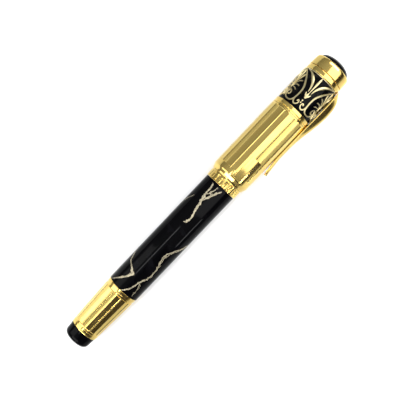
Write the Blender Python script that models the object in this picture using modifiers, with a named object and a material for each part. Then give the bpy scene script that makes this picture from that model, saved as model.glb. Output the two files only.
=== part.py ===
"""Rollerball pen with a fluted metal cap, an enamelled frieze, a lacquered barrel and a sprung clip.

Metres, +Z up. The pen lies along +X: the flat end of its tail is at the origin, its crown points
along +X and its clip stands towards -Y. Every turned piece shares the pen's axis.
"""

import math

import bmesh
import bpy
from mathutils import Matrix, Vector

MM = 0.001

# Lengths of the outer pieces, from the tail to the crown
TAIL_CAP_LENGTH = 5.0 * MM
SLEEVE_LENGTH = 21.2 * MM
BARREL_LENGTH = 51.7 * MM
RING_LENGTH = 3.4 * MM
CAP_LENGTH = 32.5 * MM
COLLAR_LENGTH = 2.2 * MM
FRIEZE_LENGTH = 14.6 * MM
CLIP_RING_LENGTH = 2.2 * MM
CROWN_RING_LENGTH = 4.4 * MM
DOME_LENGTH = 2.8 * MM

# Lengths and places of the inner pieces
SLEEVE_FLOOR = 2.0 * MM
SLEEVE_BAND = 2.3 * MM
LINER_SOCKET = 4.4 * MM
COUPLING_REACH = 11.0 * MM
COUPLING_SPIGOT = 4.8 * MM
SECTION_RING_LENGTH = 2.0 * MM
NOSE_LENGTH = 13.0 * MM
NOSE_SPIGOT = 4.0 * MM
NOSE_BEAD = 0.8 * MM
NOSE_STEP = 9.5 * MM
TIP_TO_ROOF = 2.0 * MM
POINT_LENGTH = 6.2 * MM
POINT_REACH = 2.2 * MM
REFILL_SHOULDER = 4.0 * MM
POINT_GRIP = 2.1 * MM
SPRING_LENGTH = 7.2 * MM
SEAT_THICKNESS = 1.5 * MM
LIP_LENGTH = 2.2 * MM
CAP_BAND = 1.9 * MM
CLUTCH_SETBACK = 2.6 * MM
CLUTCH_LENGTH = 3.0 * MM
INNER_CAP_SETBACK = 1.0 * MM
INNER_CAP_TO_CORE = 1.4 * MM
ROOF_SETBACK = 4.0 * MM
ROOF_THICKNESS = 1.0 * MM
CORE_OVERLAP = 5.5 * MM
RELIEF_RIM = 0.7 * MM

# Radii and walls, each piece on the one inside it
REFILL_RADIUS = 3.0 * MM
REFILL_WALL = 0.3 * MM
REFILL_PLAY = 0.5 * MM
COUPLING_WALL = 1.2 * MM
LINER_WALL = 0.6 * MM
BARREL_WALL = 1.0 * MM
RING_PROUD = 0.25 * MM
SLEEVE_RECESS = 0.15 * MM
SLEEVE_PLAY = 1.5 * MM
SLEEVE_WALL = 1.0 * MM
GRIP_WALL = 1.8 * MM
GRIP_TAPER = 0.7 * MM
SECTION_RING_PROUD = 0.5 * MM
INNER_CAP_WALL = 0.6 * MM
INNER_CAP_ROOM = 0.4 * MM
CAP_WALL = 1.3 * MM
LIP_TURN_IN = 0.65 * MM
ENAMEL_RECESS = 0.3 * MM
RELIEF_PROUD = 0.16 * MM
CLIP_RING_RECESS = 0.25 * MM
CROWN_TURN_IN = 0.45 * MM
DOME_RADIUS = 6.4 * MM
TAIL_END_RADIUS = 3.5 * MM
TAIL_CAP_STEP = 0.2 * MM
NOSE_TIP_RADIUS = 1.55 * MM
NOSE_BULGE = 0.35 * MM
REFILL_CONE_RADIUS = 1.5 * MM
REFILL_CONE_WALL = 0.27 * MM
POINT_RADIUS = 0.6 * MM
POINT_TIP_RADIUS = 0.42 * MM
BALL_RADIUS = 0.35 * MM
STUD_RADIUS = 2.0 * MM
O_RING_SECTION = 0.32 * MM
SPRING_WIRE = 0.2 * MM
SPRING_TURNS = 5

# Flutes
CAP_FLUTES = 20
SLEEVE_FLUTES = 18
RING_FLUTES = 20
FLUTE_DEPTH = 0.14 * MM
RING_FLUTE_DEPTH = 0.2 * MM
LAND_SHARE = 0.12

# Clip: its root's reach over the clip ring, its length and its shape
CLIP_LENGTH = 41.0 * MM
CLIP_CREST = 3.2 * MM
CLIP_CREST_SETBACK = 9.4 * MM
CLIP_FOOT_SETBACK = 32.9 * MM
CLIP_TIP_LIFT = 1.1 * MM
CLIP_THICKNESS = 0.9 * MM
CLIP_SHOULDER_WIDTH = 6.0 * MM
CLIP_TIP_WIDTH = 2.6 * MM
CLIP_ROOT_WIDTH = 4.4 * MM

# Plaque
PLAQUE_LENGTH = 10.0 * MM
PLAQUE_THICKNESS = 0.2 * MM
PLAQUE_SPREAD = math.radians(34)
PLAQUE_MIDDLE = math.radians(25)

# Clearances
SEAT_GAP = 0.1 * MM
FIT_GAP = 0.08 * MM
SLIDE_GAP = 0.1 * MM
CONE_GAP = 0.35 * MM
BALL_GAP = 0.02 * MM
OVERRUN = 1.0 * MM

# Facets of a turned piece
ROUND = 32
SMALL_ROUND = 20
MERGE = 0.01 * MM
SHARP = math.radians(30)

# Stations along the axis, from the outer lengths
SLEEVE_START = TAIL_CAP_LENGTH
BARREL_START = SLEEVE_START + SLEEVE_LENGTH
RING_START = BARREL_START + BARREL_LENGTH
CAP_START = RING_START + RING_LENGTH
COLLAR_START = CAP_START + CAP_LENGTH
FRIEZE_START = COLLAR_START + COLLAR_LENGTH
CLIP_RING_START = FRIEZE_START + FRIEZE_LENGTH
CROWN_START = CLIP_RING_START + CLIP_RING_LENGTH
DOME_START = CROWN_START + CROWN_RING_LENGTH
PEN_LENGTH = DOME_START + DOME_LENGTH

# Stations of the inner pieces
ROOF = CLIP_RING_START - ROOF_SETBACK - ROOF_THICKNESS
TIP = ROOF - TIP_TO_ROOF
NOSE_END = TIP - POINT_REACH
NOSE_START = NOSE_END - NOSE_LENGTH
SECTION_START = CAP_START + SEAT_GAP
GRIP_START = SECTION_START + SECTION_RING_LENGTH
COUPLING_START = CAP_START - COUPLING_REACH
COUPLING_END = GRIP_START + COUPLING_SPIGOT
SPRING_SEAT = SLEEVE_START + SLEEVE_FLOOR + SEAT_GAP + SEAT_THICKNESS
REFILL_REAR = SPRING_SEAT + SPRING_LENGTH + 2 * SEAT_GAP
NOSE_STOP = NOSE_END - NOSE_STEP
REFILL_FRONT = NOSE_STOP - SEAT_GAP
POINT_START = TIP - POINT_LENGTH
REFILL_CONE_END = POINT_START + POINT_GRIP
LINER_START = BARREL_START - LINER_SOCKET
CORE_START = COLLAR_START - CORE_OVERLAP
INNER_CAP_START = CAP_START + CLUTCH_SETBACK + CLUTCH_LENGTH + INNER_CAP_SETBACK
INNER_CAP_STEP = CORE_START - INNER_CAP_TO_CORE

# Radii, from the refill outwards
BORE = REFILL_RADIUS + REFILL_PLAY
COUPLING_RADIUS = BORE + COUPLING_WALL
LINER_BORE = COUPLING_RADIUS + FIT_GAP
LINER_RADIUS = LINER_BORE + LINER_WALL
BARREL_BORE = LINER_RADIUS + FIT_GAP
BARREL_RADIUS = BARREL_BORE + BARREL_WALL
RING_RADIUS = BARREL_RADIUS + RING_PROUD
SLEEVE_BORE = REFILL_RADIUS + SLEEVE_PLAY
SLEEVE_TAIL_RADIUS = SLEEVE_BORE + SLEEVE_WALL
SLEEVE_RADIUS = BARREL_RADIUS - SLEEVE_RECESS
GRIP_BORE = REFILL_RADIUS + REFILL_PLAY
GRIP_RADIUS = GRIP_BORE + GRIP_WALL
GRIP_END_RADIUS = GRIP_RADIUS - GRIP_TAPER
SECTION_RING_RADIUS = GRIP_RADIUS + SECTION_RING_PROUD
INNER_CAP_BORE = GRIP_RADIUS + INNER_CAP_ROOM
INNER_CAP_RADIUS = INNER_CAP_BORE + INNER_CAP_WALL
CAP_BORE = INNER_CAP_RADIUS + FIT_GAP
CAP_RADIUS = CAP_BORE + CAP_WALL
CAP_LIP_RADIUS = CAP_RADIUS - LIP_TURN_IN
CLUTCH_BORE = SECTION_RING_RADIUS + SLIDE_GAP
INNER_CAP_TOP_RADIUS = GRIP_END_RADIUS + INNER_CAP_ROOM + INNER_CAP_WALL
CORE_BORE = INNER_CAP_TOP_RADIUS + FIT_GAP
CORE_RADIUS = CAP_BORE - FIT_GAP
ENAMEL_RADIUS = CAP_RADIUS - ENAMEL_RECESS
RELIEF_BORE = ENAMEL_RADIUS + FIT_GAP
RELIEF_RADIUS = RELIEF_BORE + RELIEF_PROUD
CLIP_RING_RADIUS = CAP_RADIUS - CLIP_RING_RECESS

pen = bpy.data.collections.new("rollerball_pen")
cutters = bpy.data.collections.new("cutters")


def clear_scene():
    for obj in list(bpy.data.objects):
        bpy.data.objects.remove(obj)
    bpy.context.scene.collection.children.link(pen)
    bpy.context.scene.collection.children.link(cutters)


def finish(name, colour, roughness, metallic):
    """A plain finish, named for what it is."""
    material = bpy.data.materials.new(name)
    material.use_nodes = True
    shader = material.node_tree.nodes["Principled BSDF"]
    shader.inputs["Base Color"].default_value = (*colour, 1)
    shader.inputs["Roughness"].default_value = roughness
    shader.inputs["Metallic"].default_value = metallic
    return material


def gold(name):
    return finish(name + "_gold", (0.83, 0.6, 0.2), 0.15, 1.0)


def lacquer(name):
    return finish(name + "_black", (0.01, 0.01, 0.012), 0.08, 0.0)


def brass(name):
    return finish(name + "_brass", (0.72, 0.52, 0.24), 0.35, 1.0)


def steel(name):
    return finish(name + "_steel", (0.6, 0.6, 0.62), 0.25, 1.0)


def plastic(name, colour):
    return finish(name + "_plastic", colour, 0.45, 0.0)


def place(name, mesh, material, collection=pen):
    obj = bpy.data.objects.new(name, mesh)
    obj.data.materials.append(material)
    collection.objects.link(obj)
    return obj


def turned(name, outline, material, facets=ROUND):
    """A piece turned about the pen's axis from (station, radius) corners.

    The corners run down the outer side towards the tail and back up the bore. An outline that
    starts and ends on the axis is left open there, and any other one closes on itself. A radius
    is that of the facets' flats, and one flat faces straight down.
    """
    half_facet = math.pi / facets
    on_axis = outline[0][1] == 0 and outline[-1][1] == 0
    count = len(outline)
    edges = [(i, (i + 1) % count) for i in range(count - on_axis)]
    mesh = bpy.data.meshes.new(name)
    corners = [(radius, radius * math.tan(half_facet), station) for station, radius in outline]
    mesh.from_pydata(corners, edges, [])
    obj = place(name, mesh, material)
    # The turning axis is the object's own Z, which lies along the pen
    obj.rotation_euler = (0, math.radians(90), 0)
    screw = obj.modifiers.new("turn", "SCREW")
    screw.axis = "Z"
    screw.steps = facets
    screw.render_steps = facets
    screw.use_merge_vertices = True
    screw.merge_threshold = MERGE
    screw.use_smooth_shade = False
    return obj


def solid_of(curve_object, name, material, collection):
    """The mesh object that a curve object stands for, with its caps welded."""
    bpy.context.view_layer.update()
    evaluated = curve_object.evaluated_get(bpy.context.evaluated_depsgraph_get())
    mesh = bpy.data.meshes.new_from_object(evaluated)
    welded = bmesh.new()
    welded.from_mesh(mesh)
    bmesh.ops.remove_doubles(welded, verts=welded.verts, dist=MERGE)
    bmesh.ops.recalc_face_normals(welded, faces=welded.faces)
    welded.to_mesh(mesh)
    welded.free()
    mesh.name = name
    mesh.materials.clear()
    obj = place(name, mesh, material, collection)
    obj.matrix_world = curve_object.matrix_world
    bpy.data.objects.remove(curve_object)
    return obj


def plate(name, outlines, thickness, matrix, material, collection=pen):
    """Flat outlines in the local XY plane, given a thickness along local Z about that plane."""
    curve = bpy.data.curves.new(name + "_outline", "CURVE")
    curve.dimensions = "2D"
    curve.fill_mode = "BOTH"
    curve.extrude = thickness / 2
    for outline in outlines:
        spline = curve.splines.new("POLY")
        spline.points.add(len(outline) - 1)
        for point, (x, y) in zip(spline.points, outline):
            point.co = (x, y, 0, 1)
        spline.use_cyclic_u = True
    obj = bpy.data.objects.new(name + "_outline", curve)
    collection.objects.link(obj)
    obj.matrix_world = matrix
    return solid_of(obj, name, material, collection)


def across_axis(station):
    """Places a plate's outline across the pen: its X is the pen's Y, its Y the pen's Z."""
    turn = Matrix(((0, 0, 1, 0), (1, 0, 0, 0), (0, 1, 0, 0), (0, 0, 0, 1)))
    return Matrix.Translation((station, 0, 0)) @ turn


def around_axis(angle):
    """A turn about the pen's axis: positive carries the top towards the clip."""
    return Matrix.Rotation(angle, 4, "X")


def cut(obj, cutter, operation="DIFFERENCE"):
    cutter.hide_render = True
    cutter.display_type = "WIRE"
    boolean = obj.modifiers.new("cut_" + cutter.name, "BOOLEAN")
    boolean.operation = operation
    boolean.object = cutter
    return obj


def polar(radius, angle):
    return (radius * math.sin(angle), radius * math.cos(angle))


def flute_outlines(count, radius, depth, lands):
    """One closed outline for each flute: a shallow round bottom below the surface, open above it."""
    pitch = math.tau / count
    half = pitch * (1 - lands) / 2
    steps = 2
    outlines = []
    for index in range(count):
        middle = (index + 0.5) * pitch
        bottom = []
        for step in range(steps + 1):
            across = 2 * step / steps - 1
            bottom.append(polar(radius - depth * (1 - across**2), middle + half * across))
        above = [polar(radius + OVERRUN, middle + half), polar(radius + OVERRUN, middle - half)]
        outlines.append(bottom + above)
    return outlines


def flute_cutter(name, count, start, end, radii, depth, lands=LAND_SHARE):
    """Bars that cut flutes between two stations, of a surface that tapers between two radii."""
    length = end - start
    cutter = plate(
        name,
        flute_outlines(count, radii[0], depth, lands),
        length,
        across_axis(start + length / 2),
        finish(name, (0.5, 0.5, 0.5), 0.5, 0.0),
        cutters,
    )
    spread = radii[1] - radii[0]
    for vertex in cutter.data.vertices:
        share = vertex.co.z / length + 0.5
        along = Vector((vertex.co.x, vertex.co.y, 0))
        grown = along.length + spread * share
        vertex.co.x, vertex.co.y = (along.normalized() * grown).to_2d()
    return cutter


def smooth_round_pieces():
    for obj in pen.objects:
        if obj.type == "MESH":
            obj.data.shade_smooth()
            obj.data.set_sharp_from_angle(angle=SHARP)


def pivot(name, station, offset=0.0):
    """An empty on a joint's axis."""
    empty = bpy.data.objects.new(name, None)
    empty.location = (station, offset, 0)
    empty.empty_display_size = 4 * MM
    pen.objects.link(empty)
    return empty


def hang_on(parent, *children):
    """Parents the children without moving them."""
    bpy.context.view_layer.update()
    for child in children:
        child.parent = parent
        child.matrix_parent_inverse = parent.matrix_world.inverted()


# ---------------------------------------------------------------- barrel


def tail_cap():
    """A blunt cap whose edge rounds down to a flat end."""
    end = TAIL_CAP_LENGTH - SEAT_GAP
    shoulder = SLEEVE_TAIL_RADIUS - TAIL_CAP_STEP
    socket = STUD_RADIUS + FIT_GAP
    rounding = shoulder - TAIL_END_RADIUS - TAIL_CAP_STEP
    outline = [(TAIL_CAP_LENGTH / 2, 0), (TAIL_CAP_LENGTH / 2, socket), (end, socket)]
    outline.append((end, shoulder))
    for angle in map(math.radians, (0, 22.5, 45, 67.5, 90)):
        across = TAIL_END_RADIUS + rounding * math.cos(angle)
        outline.append((rounding * (1 - math.sin(angle)), across))
    outline.append((0, 0))
    return turned("tail_cap", outline, lacquer("tail_cap"))


def tail_stud():
    """A stud through the sleeve's floor: its head is the spring's seat."""
    floor = SLEEVE_START + SLEEVE_FLOOR + SEAT_GAP
    tip = TAIL_CAP_LENGTH / 2 + SEAT_GAP
    head = SLEEVE_BORE - FIT_GAP
    boss = SPRING_SEAT + 1.2 * MM
    boss_radius = REFILL_RADIUS / 2
    outline = [(boss, 0), (boss, boss_radius), (SPRING_SEAT, boss_radius), (SPRING_SEAT, head)]
    outline += [(floor, head), (floor, STUD_RADIUS), (tip, STUD_RADIUS), (tip, 0)]
    return turned("tail_stud", outline, brass("tail_stud"), SMALL_ROUND)


def tail_sleeve():
    """A tapering sleeve with a floor at the tail, a socket for the liner and long flutes."""
    end = BARREL_START - SEAT_GAP
    floor = SLEEVE_START + SLEEVE_FLOOR
    socket = LINER_RADIUS + FIT_GAP
    socket_start = LINER_START - SEAT_GAP
    hole = STUD_RADIUS + FIT_GAP
    outline = [(end, SLEEVE_RADIUS), (SLEEVE_START, SLEEVE_TAIL_RADIUS), (SLEEVE_START, hole)]
    outline += [(floor, hole), (floor, SLEEVE_BORE), (socket_start, SLEEVE_BORE)]
    outline += [(socket_start, socket), (end, socket)]
    sleeve = turned("tail_sleeve", outline, gold("tail_sleeve"))
    slope = (SLEEVE_RADIUS - SLEEVE_TAIL_RADIUS) / (end - SLEEVE_START)
    start = SLEEVE_START + SLEEVE_BAND
    stop = end - SLEEVE_BAND
    radii = [SLEEVE_TAIL_RADIUS + slope * (station - SLEEVE_START) for station in (start, stop)]
    return cut(sleeve, flute_cutter("sleeve_flutes", SLEEVE_FLUTES, start, stop, radii, FLUTE_DEPTH))


def barrel_liner():
    end = CAP_START - SEAT_GAP
    outline = [(end, LINER_RADIUS), (LINER_START, LINER_RADIUS)]
    outline += [(LINER_START, LINER_BORE), (end, LINER_BORE)]
    return turned("barrel_liner", outline, brass("barrel_liner"))


def barrel_tube():
    end = RING_START - SEAT_GAP
    outline = [(end, BARREL_RADIUS), (BARREL_START, BARREL_RADIUS)]
    outline += [(BARREL_START, BARREL_BORE), (end, BARREL_BORE)]
    return turned("barrel_tube", outline, lacquer("barrel_tube"))


def barrel_ring():
    """A narrow ring of upright reeds between two thin lips."""
    end = CAP_START - SEAT_GAP
    lip = 0.6 * MM
    outline = [(end, RING_RADIUS), (RING_START, RING_RADIUS)]
    outline += [(RING_START, BARREL_BORE), (end, BARREL_BORE)]
    ring = turned("barrel_ring", outline, gold("barrel_ring"))
    radii = (RING_RADIUS, RING_RADIUS)
    flutes = flute_cutter(
        "ring_flutes", RING_FLUTES, RING_START + lip, end - lip, radii, RING_FLUTE_DEPTH, 0.75
    )
    return cut(ring, flutes)


def refill_spring():
    """A coil between the stud's head and the refill's rear."""
    wire = SPRING_WIRE
    radius = REFILL_RADIUS - 2 * wire
    start = SPRING_SEAT + SEAT_GAP + wire
    length = SPRING_LENGTH - 2 * wire
    points_per_turn = 12
    count = SPRING_TURNS * points_per_turn
    curve = bpy.data.curves.new("refill_spring", "CURVE")
    curve.dimensions = "3D"
    curve.bevel_depth = wire
    curve.bevel_resolution = 2
    curve.use_fill_caps = True
    spline = curve.splines.new("POLY")
    spline.points.add(count)
    for index, point in enumerate(spline.points):
        turn = math.tau * index / points_per_turn
        station = start + length * index / count
        point.co = (station, radius * math.sin(turn), radius * math.cos(turn), 1)
    return place("refill_spring", curve, steel("refill_spring"))


# --------------------------------------------------------------- section


def section_coupling():
    """A tube inside the liner with a groove for the rubber ring, and a spigot for the grip."""
    groove = COUPLING_RADIUS - 2 * O_RING_SECTION
    groove_end = CAP_START - 1.2 * MM
    groove_start = groove_end - 2.6 * O_RING_SECTION
    outline = [(COUPLING_END, COUPLING_RADIUS), (groove_end, COUPLING_RADIUS), (groove_end, groove)]
    outline += [(groove_start, groove), (groove_start, COUPLING_RADIUS)]
    outline += [(COUPLING_START, COUPLING_RADIUS), (COUPLING_START, BORE), (COUPLING_END, BORE)]
    return turned("section_coupling", outline, brass("section_coupling"))


def section_o_ring():
    """A rubber ring that lies in the coupling's groove, clear of its floor and of the liner."""
    middle = CAP_START - 1.2 * MM - 1.3 * O_RING_SECTION
    radius = COUPLING_RADIUS - O_RING_SECTION + FIT_GAP / 2
    sides = 6
    turn = math.tau / sides
    outline = []
    for index in range(sides):
        station = middle + O_RING_SECTION * math.sin(index * turn)
        outline.append((station, radius + O_RING_SECTION * math.cos(index * turn)))
    outline.reverse()
    return turned("section_o_ring", outline, plastic("section_o_ring", (0.02, 0.02, 0.02)))


def section_ring():
    bore = COUPLING_RADIUS + FIT_GAP
    end = GRIP_START - SEAT_GAP
    chamfer = 0.3 * MM
    outline = [(end, SECTION_RING_RADIUS - chamfer), (end - chamfer, SECTION_RING_RADIUS)]
    outline += [(SECTION_START, SECTION_RING_RADIUS), (SECTION_START, bore), (end, bore)]
    return turned("section_ring", outline, gold("section_ring"))


def grip_section():
    """The grip narrows to a waist and flares slightly at the nose."""
    end = NOSE_START - SEAT_GAP
    length = end - GRIP_START
    spigot = COUPLING_RADIUS + FIT_GAP
    socket = BORE + COUPLING_WALL / 2
    waist = [(0.75, 0.98), (0.5, 0.7), (0.25, 0.28)]
    outline = [(end, GRIP_END_RADIUS)]
    outline += [(GRIP_START + length * at, GRIP_RADIUS - GRIP_TAPER * share) for at, share in waist]
    outline += [(GRIP_START, GRIP_RADIUS), (GRIP_START, spigot), (COUPLING_END + SEAT_GAP, spigot)]
    outline += [(COUPLING_END + SEAT_GAP, GRIP_BORE), (end - NOSE_SPIGOT - SEAT_GAP, GRIP_BORE)]
    outline += [(end - NOSE_SPIGOT - SEAT_GAP, socket), (end, socket)]
    return turned("grip_section", outline, lacquer("grip_section"))


def nose_cone():
    """A bulged cone with a spigot in the grip and a step inside that stops the refill's shoulder."""
    spigot = BORE + COUPLING_WALL / 2 - FIT_GAP
    spigot_start = NOSE_START - NOSE_SPIGOT
    tip_rounding = 0.5 * MM
    cone_start = NOSE_START + NOSE_BEAD
    cone_end = NOSE_END - tip_rounding
    cone_radius = GRIP_END_RADIUS - 0.25 * MM
    wide = BORE - REFILL_PLAY / 2
    cone_tip = POINT_RADIUS + FIT_GAP + REFILL_CONE_WALL
    outline = [(NOSE_END, NOSE_TIP_RADIUS * 0.8)]
    for share in (1.0, 0.75, 0.5, 0.25, 0.0):
        bulge = NOSE_BULGE * 4 * share * (1 - share)
        radius = cone_radius + (NOSE_TIP_RADIUS - cone_radius) * share + bulge
        outline.append((cone_start + (cone_end - cone_start) * share, radius))
    outline += [(cone_start, GRIP_END_RADIUS), (NOSE_START, GRIP_END_RADIUS), (NOSE_START, spigot)]
    outline += [(spigot_start, spigot), (spigot_start, wide), (NOSE_STOP, wide)]
    outline += [(NOSE_STOP, REFILL_CONE_RADIUS + CONE_GAP), (REFILL_CONE_END + SEAT_GAP, cone_tip + CONE_GAP)]
    outline += [(REFILL_CONE_END + SEAT_GAP, POINT_RADIUS + REFILL_PLAY / 2)]
    outline += [(NOSE_END, POINT_RADIUS + REFILL_PLAY / 2)]
    return turned("nose_cone", outline, gold("nose_cone"))


# ---------------------------------------------------------------- refill


def refill_tube():
    end = REFILL_FRONT - REFILL_SHOULDER - SEAT_GAP
    bore = REFILL_RADIUS - REFILL_WALL
    outline = [(end, REFILL_RADIUS), (REFILL_REAR, REFILL_RADIUS), (REFILL_REAR, bore), (end, bore)]
    return turned("refill_tube", outline, steel("refill_tube"), SMALL_ROUND)


def refill_plug():
    radius = REFILL_RADIUS - REFILL_WALL - FIT_GAP
    start = REFILL_REAR + 0.4 * MM
    end = start + 4 * MM
    outline = [(end, 0), (end, radius), (start, radius), (start, 0)]
    return turned("refill_plug", outline, plastic("refill_plug", (0.85, 0.85, 0.82)), SMALL_ROUND)


def refill_nose():
    """The refill's front: a plug in the tube, a shoulder and a slender cone that holds the point."""
    wide = REFILL_RADIUS - 0.35 * MM
    plug = REFILL_RADIUS - REFILL_WALL - FIT_GAP
    plug_start = REFILL_FRONT - REFILL_SHOULDER - 3 * MM
    shoulder = REFILL_FRONT - REFILL_SHOULDER
    hole = POINT_RADIUS + FIT_GAP
    socket = POINT_START - SEAT_GAP
    outline = [(socket, 0), (socket, hole), (REFILL_CONE_END, hole)]
    outline += [(REFILL_CONE_END, hole + REFILL_CONE_WALL), (REFILL_FRONT, REFILL_CONE_RADIUS)]
    outline += [(REFILL_FRONT, wide), (shoulder, wide), (shoulder, plug), (plug_start, plug)]
    outline += [(plug_start, 0)]
    return turned("refill_nose", outline, plastic("refill_nose", (0.03, 0.03, 0.05)), SMALL_ROUND)


def refill_point():
    """A steel tube that narrows to the ball's socket."""
    socket = TIP - BALL_RADIUS * 0.6
    cone = socket - 1.1 * MM
    seat = BALL_RADIUS + BALL_GAP
    floor = TIP - 2 * BALL_RADIUS - BALL_GAP
    outline = [(floor, 0), (floor, seat), (socket, seat), (socket, POINT_TIP_RADIUS)]
    outline += [(cone, POINT_RADIUS), (POINT_START, POINT_RADIUS), (POINT_START, 0)]
    return turned("refill_point", outline, steel("refill_point"), SMALL_ROUND)


def refill_ball():
    mesh = bpy.data.meshes.new("refill_ball")
    ball = bmesh.new()
    bmesh.ops.create_uvsphere(ball, u_segments=16, v_segments=10, radius=BALL_RADIUS)
    ball.to_mesh(mesh)
    ball.free()
    obj = place("refill_ball", mesh, steel("refill_ball"))
    obj.location = (TIP - BALL_RADIUS, 0, 0)
    return obj


# ------------------------------------------------------------------- cap


def cap_tube():
    """The fluted tube of the cap, with a turned-in lip at its mouth."""
    end = COLLAR_START - SEAT_GAP
    shoulder = CAP_START + LIP_LENGTH
    outline = [(end, CAP_RADIUS), (shoulder, CAP_RADIUS)]
    outline += [(CAP_START + LIP_LENGTH * 0.7, CAP_RADIUS - LIP_TURN_IN * 0.25)]
    outline += [(CAP_START + LIP_LENGTH * 0.35, CAP_RADIUS - LIP_TURN_IN * 0.75)]
    outline += [(CAP_START, CAP_LIP_RADIUS), (CAP_START, CAP_BORE), (end, CAP_BORE)]
    tube = turned("cap_tube", outline, gold("cap_tube"))
    radii = (CAP_RADIUS, CAP_RADIUS)
    start = shoulder + CAP_BAND
    return cut(tube, flute_cutter("cap_flutes", CAP_FLUTES, start, end + OVERRUN, radii, FLUTE_DEPTH))


def cap_plaque():
    """A thin curved tab over two flutes at the cap's mouth."""
    inner = CAP_RADIUS + FIT_GAP
    outer = inner + PLAQUE_THICKNESS
    steps = 8
    angles = [PLAQUE_SPREAD * (step / steps - 0.5) for step in range(steps + 1)]
    outline = [polar(outer, angle) for angle in angles]
    outline += [polar(inner, angle) for angle in reversed(angles)]
    start = CAP_START + LIP_LENGTH
    matrix = around_axis(PLAQUE_MIDDLE) @ across_axis(start + PLAQUE_LENGTH / 2)
    return plate("cap_plaque", [outline], PLAQUE_LENGTH, matrix, gold("cap_plaque"))


def cap_clutch():
    """A spring ring in the cap's mouth, just clear of the section's ring."""
    start = CAP_START + CLUTCH_SETBACK
    end = start + CLUTCH_LENGTH
    outer = CAP_BORE - FIT_GAP
    outline = [(end, outer), (start, outer), (start, outer - 0.25 * MM)]
    outline += [(start + CLUTCH_LENGTH / 2, CLUTCH_BORE), (end, outer - 0.25 * MM)]
    return turned("cap_clutch", outline, steel("cap_clutch"))


def inner_cap():
    """A plastic liner that closes round the grip and the nose, with a roof over the point."""
    step = INNER_CAP_STEP
    top = ROOF + ROOF_THICKNESS
    narrow_bore = INNER_CAP_TOP_RADIUS - INNER_CAP_WALL
    outline = [(top, 0), (top, INNER_CAP_TOP_RADIUS), (step, INNER_CAP_TOP_RADIUS)]
    outline += [(step - 1 * MM, INNER_CAP_RADIUS), (INNER_CAP_START, INNER_CAP_RADIUS)]
    outline += [(INNER_CAP_START, INNER_CAP_BORE), (step - 1 * MM - INNER_CAP_WALL, INNER_CAP_BORE)]
    outline += [(step - INNER_CAP_WALL, narrow_bore), (ROOF, narrow_bore), (ROOF, 0)]
    return turned("inner_cap", outline, plastic("inner_cap", (0.05, 0.05, 0.06)))


def cap_core():
    """A brass sleeve on which the collar, the frieze and the clip ring sit."""
    end = CLIP_RING_START - SEAT_GAP
    outline = [(end, CORE_RADIUS), (CORE_START, CORE_RADIUS), (CORE_START, CORE_BORE), (end, CORE_BORE)]
    return turned("cap_core", outline, brass("cap_core"))


def cap_collar():
    """A plain band with one turned groove."""
    end = FRIEZE_START - SEAT_GAP
    groove = COLLAR_START + COLLAR_LENGTH * 0.3
    half = 0.15 * MM
    depth = 0.2 * MM
    outline = [(end, CAP_RADIUS), (groove + half, CAP_RADIUS), (groove, CAP_RADIUS - depth)]
    outline += [(groove - half, CAP_RADIUS), (COLLAR_START, CAP_RADIUS), (COLLAR_START, CAP_BORE)]
    outline += [(end, CAP_BORE)]
    return turned("cap_collar", outline, gold("cap_collar"))


def frieze_band():
    end = CLIP_RING_START - SEAT_GAP
    outline = [(end, ENAMEL_RADIUS), (FRIEZE_START, ENAMEL_RADIUS), (FRIEZE_START, CAP_BORE)]
    outline += [(end, CAP_BORE)]
    return turned("frieze_band", outline, lacquer("frieze_band"))


def pierce_outline(widths, start, length):
    """A symmetric opening from (share of the length, half angle) pairs, seen from outside."""
    reach = [(start + length * share, RELIEF_RADIUS * math.sin(half)) for share, half in widths]
    return reach + [(station, -across) for station, across in reversed(reach)]


def frieze_relief():
    """An openwork sleeve: two rims joined by three pointed arches, pierced between the strands."""
    start = FRIEZE_START + RELIEF_RIM
    length = FRIEZE_LENGTH - SEAT_GAP - 2 * RELIEF_RIM
    end = CLIP_RING_START - SEAT_GAP
    outline = [(end, RELIEF_RADIUS), (FRIEZE_START, RELIEF_RADIUS), (FRIEZE_START, RELIEF_BORE)]
    outline += [(end, RELIEF_BORE)]
    relief = turned("frieze_relief", outline, gold("frieze_relief"))
    degrees = math.radians
    arch = [(0.0, degrees(35)), (0.2, degrees(37)), (0.4, degrees(33)), (0.6, degrees(24))]
    arch += [(0.8, degrees(12)), (0.97, degrees(2))]
    field = [(0.0, degrees(18)), (0.2, degrees(16)), (0.4, degrees(20)), (0.6, degrees(29))]
    field += [(0.8, degrees(41)), (1.0, degrees(54))]
    for repeat in range(3):
        for kind, widths, offset in (("arch", arch, 60), ("field", field, 0)):
            turn = around_axis(degrees(120 * repeat + offset))
            lift = Matrix.Translation((0, 0, CAP_RADIUS))
            opening = plate(
                f"{kind}_{repeat}",
                [pierce_outline(widths, start, length)],
                CAP_RADIUS,
                turn @ lift,
                finish("opening", (0.5, 0.5, 0.5), 0.5, 0.0),
                cutters,
            )
            cut(relief, opening)
    return relief


def clip_ring():
    end = CROWN_START - SEAT_GAP
    bore = STUD_RADIUS + FIT_GAP
    chamfer = 0.25 * MM
    radius = CLIP_RING_RADIUS
    outline = [(end, radius - chamfer), (end - chamfer, radius), (CLIP_RING_START + chamfer, radius)]
    outline += [(CLIP_RING_START, radius - chamfer), (CLIP_RING_START, bore), (end, bore)]
    return turned("clip_ring", outline, gold("clip_ring"))


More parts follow.
